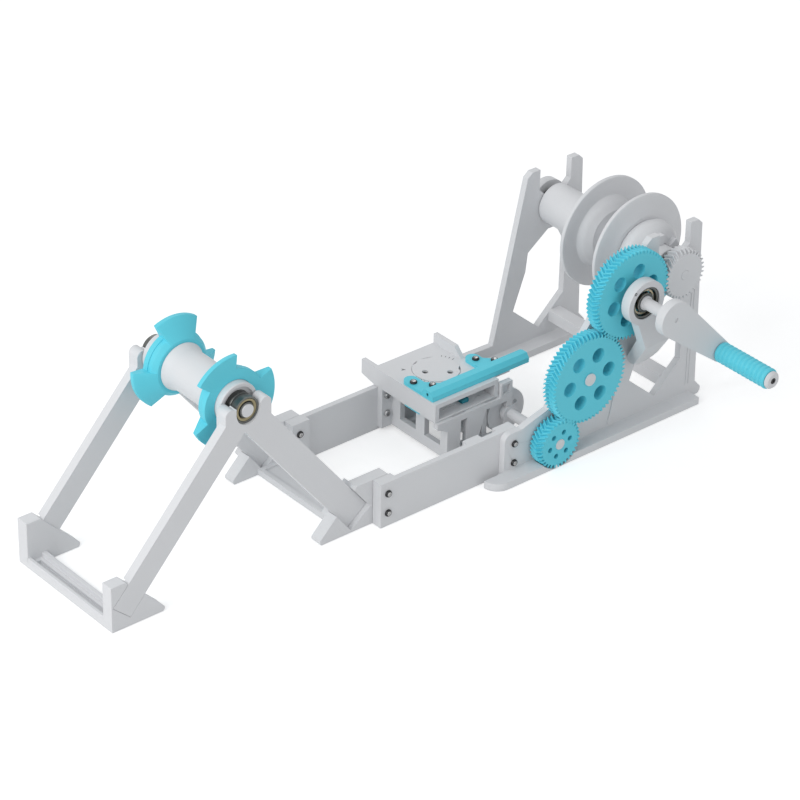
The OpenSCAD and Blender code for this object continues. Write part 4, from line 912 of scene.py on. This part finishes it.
@dataclass
class SettingDial:
    """The round dial with its two finger holes and the gaps at its rim, with painted shade in the
    holes and behind the gaps.
    """

    rim: float = 19.6 * MM
    rim_t: float = 1.9 * MM
    cup: float = 15.2 * MM
    cup_steps: int = 96
    floor_t: float = 0.6 * MM
    holes: Tuple[Tuple[float, float, float], ...] = (
        (-180.2 * MM, 100.0 * MM, 2.6 * MM),
        (-164.45 * MM, 87.35 * MM, 2.6 * MM),
    )
    gaps: Tuple[Tuple[float, float, float], ...] = (
        (72.0, 21.0, 1.7 * MM),
        (113.0, 11.0, 1.4 * MM),
        (-36.0, 12.0, 1.5 * MM),
    )
    ticks: Tuple[float, ...] = (-174.0, -165.5, -157.0, -148.0, 10.0, 20.0, 29.0, 38.0)
    tick_in: float = 20.4 * MM
    tick_out: float = 22.6 * MM
    tick_half: float = 0.18 * MM
    mark_sink: float = 0.2 * MM
    mark_rise: float = 0.06 * MM
    pointer_tip: Flat = (-189.9 * MM, 112.9 * MM)
    pointer_way: Flat = (-1.0, 0.84)
    pointer_len: float = 3.4 * MM
    pointer_notch: float = 2.3 * MM
    pointer_half: float = 1.3 * MM
    steps: int = 240

    def build(self, shop: Shop) -> None:
        """Makes the dial in its seat, and the ticks on the tray round it."""
        low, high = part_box("guide_dial")
        centre = middle("guide_dial")[:2]
        holes = [round_outline(hole[:2], hole[2]) for hole in self.holes]
        cup = round_outline(centre, self.cup, self.cup_steps)
        ledge, floor = high[2] - self.rim_t, low[2] + self.floor_t
        shape = bmesh.new()
        cut_plate(shape, self._rim(centre), holes, ledge, high[2])
        # The holes' walls below the ledge, the wall seen through the rim gaps and the floor take
        # the painted-shade finish.
        cut_plate(shape, cup, holes, floor, ledge, 1)
        cut_plate(shape, cup, [], low[2], floor, 1)
        shop.piece("setting_dial", shape, "dial", ["white_z", "recess"], ["guide_dial"], 0.18 * MM)
        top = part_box("guide_bar")[0][2]
        scale = bmesh.new()
        # The ticks and the pointer are near-flush marks in the painted-shade finish.
        for turn in self.ticks:
            outline = self._tick(centre, math.radians(turn))
            cut_plate(scale, outline, [], top - self.mark_sink, top + self.mark_rise)
        cut_plate(scale, self._pointer(), [], top - self.mark_sink, top + self.mark_rise)
        shop.piece("dial_scale", scale, "carriage", ["recess"])

    def _rim(self, centre: Flat) -> List[Flat]:
        """The outline with its three gaps."""
        corners = []
        for number in range(self.steps):
            turn = 360.0 * number / self.steps
            radius = self.rim
            for middle_turn, half, depth in self.gaps:
                off = abs((turn - middle_turn + 180.0) % 360.0 - 180.0) / half
                if off < 1.0:
                    radius = self.rim - depth * (1.0 - off * off)
            corners.append(polar(centre, radius, math.radians(turn)))
        return corners

    def _tick(self, centre: Flat, turn: float) -> List[Flat]:
        """The outline of one tick of the scale on the tray's top."""
        along = Vector((math.cos(turn), math.sin(turn)))
        across = Vector((-along.y, along.x)) * self.tick_half
        start = Vector(centre) + along * self.tick_in
        end = Vector(centre) + along * self.tick_out
        return [tuple(p) for p in (start - across, end - across, end + across, start + across)]

    def _pointer(self) -> List[Flat]:
        """The outline of the small pointer beside the dial."""
        tip = Vector(self.pointer_tip)
        back = Vector(self.pointer_way).normalized()
        side = Vector((-back.y, back.x)) * self.pointer_half
        tail, notch = tip + back * self.pointer_len, tip + back * self.pointer_notch
        return [tuple(p) for p in (tip, tail - side, notch, tail + side)]


@dataclass
class CarriageApron:
    """The ledge and fascia that close the carriage's front, and the follower's toe in them."""

    left: float = -202.6 * MM
    right: float = -144.4 * MM
    front: float = 56.0 * MM
    back: float = 79.8 * MM
    under: float = 40.5 * MM
    top: float = 42.0 * MM
    tray_over_dial: float = 1.33 * MM
    fascia: Flat = (69.0 * MM, 70.6 * MM)
    toe: Flat = (-172.6 * MM, -165.6 * MM)
    toe_z: Flat = (0.05 * MM, 3.6 * MM)
    toe_y: float = 62.6 * MM
    toe_gap: float = 0.6 * MM
    toe_lap: float = 0.5 * MM
    slits: Tuple[Tuple[float, float, float], ...] = (
        (-190.8 * MM, -176.4 * MM, 66.5 * MM),
        (-155.8 * MM, -145.7 * MM, 64.8 * MM),
    )
    slit_w: float = 0.7 * MM

    def build(self, shop: Shop) -> None:
        """Makes the apron and the toe."""
        tray_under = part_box("guide_dial")[0][2] + self.tray_over_dial
        half = self.slit_w / 2
        slits = [box_outline((x0, y - half), (x1, y + half)) for x0, x1, y in self.slits]
        ledge = box_outline((self.left, self.front), (self.right, self.back))
        shape = bmesh.new()
        cut_plate(shape, ledge, slits, self.under, self.top)
        low, high = self.toe[0] - self.toe_gap, self.toe[1] + self.toe_gap
        for x0, x1 in ((self.left, low), (high, self.right)):
            strip = box_outline((x0, self.fascia[0]), (x1, self.fascia[1]))
            cut_plate(shape, strip, [], self.top, tray_under)
        shop.piece("carriage_apron", shape, "carriage", ["white_z"], edge=0.2 * MM)
        toe = bmesh.new()
        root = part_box("guide_follower")[0][1] + self.toe_lap
        outline = box_outline((self.toe[0], self.toe_y), (self.toe[1], root))
        cut_plate(toe, outline, [], *(self.top + rise for rise in self.toe_z))
        shop.piece("follower_toe", toe, "carriage", ["shaded_teal"], edge=0.4 * MM)


@dataclass
class BaseDetails:
    """The raised walls of the base's cross bar, and the cheek that laps the back leg's foot."""

    bar_y: Flat = (39.0 * MM, 137.9 * MM)
    wall_top: float = 9.2 * MM
    front_wall: Tuple[float, float, float] = (-542.65 * MM, -539.9 * MM, 5.4 * MM)
    back_wall: Tuple[float, float, float] = (-529.75 * MM, -525.6 * MM, 0.05 * MM)
    cheek_y: Flat = (137.05 * MM, 137.9 * MM)
    cheek_xz: Tuple[Flat, ...] = (
        (-542.65 * MM, 0.05 * MM),
        (-495.8 * MM, 0.05 * MM),
        (-494.45 * MM, 1.4 * MM),
        (-494.45 * MM, 4.0 * MM),
        (-529.7 * MM, 39.95 * MM),
        (-542.65 * MM, 39.95 * MM),
    )

    def build(self, shop: Shop) -> None:
        """Makes the walls and the cheek."""
        walls = bmesh.new()
        for x0, x1, z0 in (self.front_wall, self.back_wall):
            outline = box_outline((x0, self.bar_y[0]), (x1, self.bar_y[1]))
            cut_plate(walls, outline, [], z0, self.wall_top)
        shop.piece("base_bar_walls", walls, "stand", ["white_z"], edge=0.3 * MM)
        cheek = bmesh.new()
        cut_plate(cheek, self.cheek_xz, [], 0.0, self.cheek_y[1] - self.cheek_y[0])
        upright = Matrix((
            (1.0, 0.0, 0.0, 0.0),
            (0.0, 0.0, 1.0, self.cheek_y[0]),
            (0.0, 1.0, 0.0, 0.0),
            (0.0, 0.0, 0.0, 1.0),
        ))
        bmesh.ops.transform(cheek, matrix=upright, verts=cheek.verts)
        shop.piece("back_cheek", cheek, "stand", ["white_y"], edge=0.25 * MM)


@dataclass
class SmallMarks:
    """The fine ridges, the sleeve, the set screw and the small hole of the printed pieces."""

    ridge_places: Tuple[Tuple[float, float, float], ...] = (
        (23.4 * MM, 14.0 * MM, 112.0 * MM),
        (26.6 * MM, 14.0 * MM, 104.0 * MM),
    )
    ridge_y: float = 6.75 * MM
    ridge_w: float = 0.8 * MM
    ridge_t: float = 0.45 * MM
    set_screw: Point = (-70.2 * MM, -23.25 * MM, 145.6 * MM)
    screw_rings: Tuple[Flat, ...] = (
        (1.3 * MM, -0.5 * MM), (1.3 * MM, 0.12 * MM), (0.75 * MM, 0.12 * MM), (0.6 * MM, -0.4 * MM),
    )
    bar_end: Point = (-205.8 * MM, 67.1 * MM, 61.6 * MM)
    hole_rings: Tuple[Flat, ...] = (
        (1.2 * MM, -0.4 * MM), (1.2 * MM, 0.05 * MM),
        (0.95 * MM, 0.05 * MM), (0.85 * MM, -0.3 * MM),
    )
    sleeve: Flat = (3.95 * MM, 4.9 * MM)
    sleeve_ends: Flat = (-49.3 * MM, -22.45 * MM)
    sleeve_edge: float = 0.3 * MM

    def build(self, shop: Shop) -> None:
        """Makes them all."""
        ridges = bmesh.new()
        for x, low, high in self.ridge_places:
            centre = (x, self.ridge_y - self.ridge_t / 2, (low + high) / 2)
            self._bar(ridges, centre, (self.ridge_w, self.ridge_t, high - low))
        shop.piece("post_ridges", ridges, "stand", ["white_y"])
        screw = bmesh.new()
        stepped_plug(screw, self.screw_rings, self.set_screw, (0.0, -1.0, 0.0))
        shop.piece("bracket_set_screw", screw, "stand", ["oxide"])
        hole = bmesh.new()
        stepped_plug(hole, self.hole_rings, self.bar_end, (-1.0, 0.0, 0.0))
        shop.piece("bar_end_hole", hole, "carriage", ["shaded_teal"])
        x, _, z = middle("crank_bearing_core")
        (near, far), edge = self.sleeve, self.sleeve_edge
        start, end = self.sleeve_ends
        length = end - start
        sleeve = bmesh.new()
        Lathe(sleeve, (x, z)).turn(
            [
                (near, 0.0), (far - edge, 0.0), (far, edge),
                (far, length - edge), (far - edge, length), (near, length),
            ],
            start,
        )
        shop.piece("crank_sleeve", sleeve, "crank", ["white_y"])

    @staticmethod
    def _bar(shape: bmesh.types.BMesh, centre: Point, size: Point) -> None:
        """Adds a slim bar with softened edges."""
        made = bmesh.ops.create_cube(
            shape, size=1.0, matrix=Matrix.Translation(centre) @ Matrix.Diagonal((*size, 1.0))
        )["verts"]
        edges = list({edge for vert in made for edge in vert.link_edges})
        bmesh.ops.bevel(
            shape, geom=edges, offset=min(size) * 0.3, segments=2, profile=0.5, affect="EDGES",
            material=-1,
        )


@dataclass
class Studio:
    """The floor, the lamps, the world and the camera."""

    eye: Point = (-1.7125, -1.66675, 1.4602)
    azimuth: float = -40.45
    elevation: float = 31.44
    roll: float = 1.19
    focal_px: float = 3390.86
    image_px: float = 800.0
    sensor: float = 36.0
    far_clip: float = 50.0
    floor_place: Point = (-0.2, 0.1, -0.0002)
    floor_half: float = 6.0
    floor_tone: float = 0.80
    floor_glow: float = 0.45
    sky: Colour = (0.96, 0.98, 1.0)
    sky_strength: float = 0.53
    aim: Point = (-0.25, 0.08, 0.08)
    lamps: Tuple[Tuple[str, Point, float, float], ...] = (
        ("key", (-2.25, -0.12, 1.45), 1.5, 29.0),
        ("fill", (0.4, -2.2, 1.3), 1.4, 4.5),
        ("back", (0.4, 1.8, 1.6), 1.4, 5.0),
    )

    def build(self) -> None:
        """Builds the whole set."""
        self._view()
        self._floor()
        self._world()
        for lamp in self.lamps:
            self._lamp(*lamp)

    def _view(self) -> None:
        """Places the camera as the photograph's was."""
        az, el, roll = (math.radians(a) for a in (self.azimuth, self.elevation, self.roll))
        level = math.cos(el)
        ahead = Vector((-math.sin(az) * level, math.cos(az) * level, -math.sin(el)))
        flat_right = Vector((math.cos(az), math.sin(az), 0.0))
        flat_up = flat_right.cross(ahead)
        right = math.cos(roll) * flat_right + math.sin(roll) * flat_up
        up = -math.sin(roll) * flat_right + math.cos(roll) * flat_up
        data = bpy.data.cameras.new("camera")
        data.sensor_width = self.sensor
        data.sensor_fit = "HORIZONTAL"
        data.lens = self.focal_px / self.image_px * self.sensor
        data.clip_end = self.far_clip
        camera = bpy.data.objects.new("camera", data)
        turn = Matrix((right, up, -ahead)).transposed()
        camera.matrix_world = Matrix.Translation(self.eye) @ turn.to_4x4()
        bpy.context.scene.collection.objects.link(camera)
        bpy.context.scene.camera = camera

    def _floor(self) -> None:
        """Lays the pale floor, which shows white to the camera and keeps the shadow."""
        mesh = bpy.data.meshes.new("floor")
        shape = bmesh.new()
        bmesh.ops.create_grid(shape, x_segments=1, y_segments=1, size=self.floor_half)
        shape.to_mesh(mesh)
        shape.free()
        floor = bpy.data.objects.new("floor", mesh)
        floor.location = self.floor_place
        bpy.context.scene.collection.objects.link(floor)
        recipe = Recipe("floor_pale")
        recipe.tree.nodes.remove(recipe.shader)
        plain = recipe.add("ShaderNodeBsdfDiffuse", {}, {"Color": (self.floor_tone,) * 3})
        glow = recipe.add("ShaderNodeEmission", {}, {"Color": WHITE, "Strength": self.floor_glow})
        both = recipe.add("ShaderNodeAddShader", {}, {0: plain, 1: glow})
        mixed = recipe.add("ShaderNodeMixShader", {}, {0: recipe.seen(), 1: plain, 2: both})
        recipe.finish(mixed)
        mesh.materials.append(recipe.material)

    def _world(self) -> None:
        """Fills the world with a soft even light that shows white."""
        world = bpy.data.worlds.new("studio")
        bpy.context.scene.world = world
        graph = Graph(world, "ShaderNodeOutputWorld")
        kind = "ShaderNodeBackground"
        soft = graph.add(kind, {}, {"Color": self.sky, "Strength": self.sky_strength})
        bright = graph.add(kind, {}, {"Color": WHITE, "Strength": 1.0})
        graph.finish(graph.add("ShaderNodeMixShader", {}, {0: graph.seen(), 1: soft, 2: bright}))

    def _lamp(self, name: str, place: Point, size: float, power: float) -> None:
        """Adds one square lamp that points at the winder.

        Args:
            name: The lamp's name.
            place: Where it hangs, in metres.
            size: The length of its sides, in metres.
            power: Its power in watts.
        """
        data = bpy.data.lights.new(name, "AREA")
        data.shape = "SQUARE"
        data.size = size
        data.energy = power
        lamp = bpy.data.objects.new(name, data)
        lamp.location = place
        aim = Vector(self.aim) - Vector(place)
        lamp.rotation_euler = aim.to_track_quat("-Z", "Y").to_euler()
        bpy.context.scene.collection.objects.link(lamp)


# Finish, width of the softened edges, and the nodes that get them.
DRESS: Tuple[Tuple[str, float, Tuple[str, ...]], ...] = (
    ("white_z", 0.35 * MM, ("stand_base", "supply_feet", "wall_tie")),
    ("white_z", 0.3 * MM, ("guide_frame", "guide_tray")),
    ("white_y", 0.35 * MM, (
        "supply_frame_front", "supply_frame_back", "rail_front", "rail_back",
        "wall_front", "wall_back", "wall_spacer", "crank_arm",
    )),
    ("white_y", 0.3 * MM, ("clamp_nut", "crank_bracket", "drive_disc")),
    ("white_y", 0.2 * MM, (
        "roller_axle", "roller_axle_cap", "roller_hub", "takeup_axle", "takeup_core",
        "takeup_tube", "lock_ring", "flange_rear", "flange_front", "axle_cap",
        "crank_shaft", "grip_pin", "grip_cap", "idler_pin",
    )),
    ("white_y", 0.0, ("axle_gear", "drive_shaft")),
    ("teal_y", 0.25 * MM, ("roller_cone_front", "roller_cone_back")),
    ("teal_y", 0.0, ("crank_gear", "grip", "idler_gear", "drive_gear")),
    ("teal_z", 0.4 * MM, ("guide_bar",)),
    ("teal_z", 0.3 * MM, ("guide_follower",)),
    ("dark_steel_cradle", 0.3 * MM, ("roller_bearings",)),
    ("oxide", 0.1 * MM, ("crank_screws",)),
)

BEARINGS: Tuple[BallBearing, ...] = (
    BallBearing(
        "cradle", "cradle_bearing_rings", "cradle_bearing_cores", "roller",
        22.0 * MM, 8.0 * MM, 7.0 * MM,
    ),
    BallBearing(
        "wall", "wall_bearing_rings", "wall_bearing_cores", "takeup",
        22.0 * MM, 8.0 * MM, 7.0 * MM,
    ),
    BallBearing(
        "crank", "crank_bearing_ring", "crank_bearing_core", "crank",
        28.0 * MM, 12.0 * MM, 8.0 * MM, open_cage=True, lip=2.1 * MM,
    ),
)

SCREWS: Tuple[SocketScrews, ...] = (
    SocketScrews("rail_screws", "stand"),
    SocketScrews("guide_screws", "stand", finish="zinc"),
    SocketScrews("guide_bar_screws", "carriage"),
    SocketScrews("wall_screws", "stand"),
)


def main() -> None:
    """Builds and reports every piece of the scene."""
    logging.basicConfig(level=logging.INFO, format="%(name)s: %(message)s")
    bpy.context.scene.view_settings.view_transform = "Standard"
    finishes = Finishes()
    finishes.prepare(BEARINGS)
    dresser = Dresser(finishes)
    for finish, edge, nodes in DRESS:
        for node in nodes:
            dresser.dress(node, finish, edge)
    shop = Shop(finishes)
    details = (CoreThread(), SettingDial(), CarriageApron(), BaseDetails(), SmallMarks())
    for assembly in (*BEARINGS, *SCREWS, *details):
        assembly.build(shop)
    Studio().build()


if __name__ == "__main__":
    main()
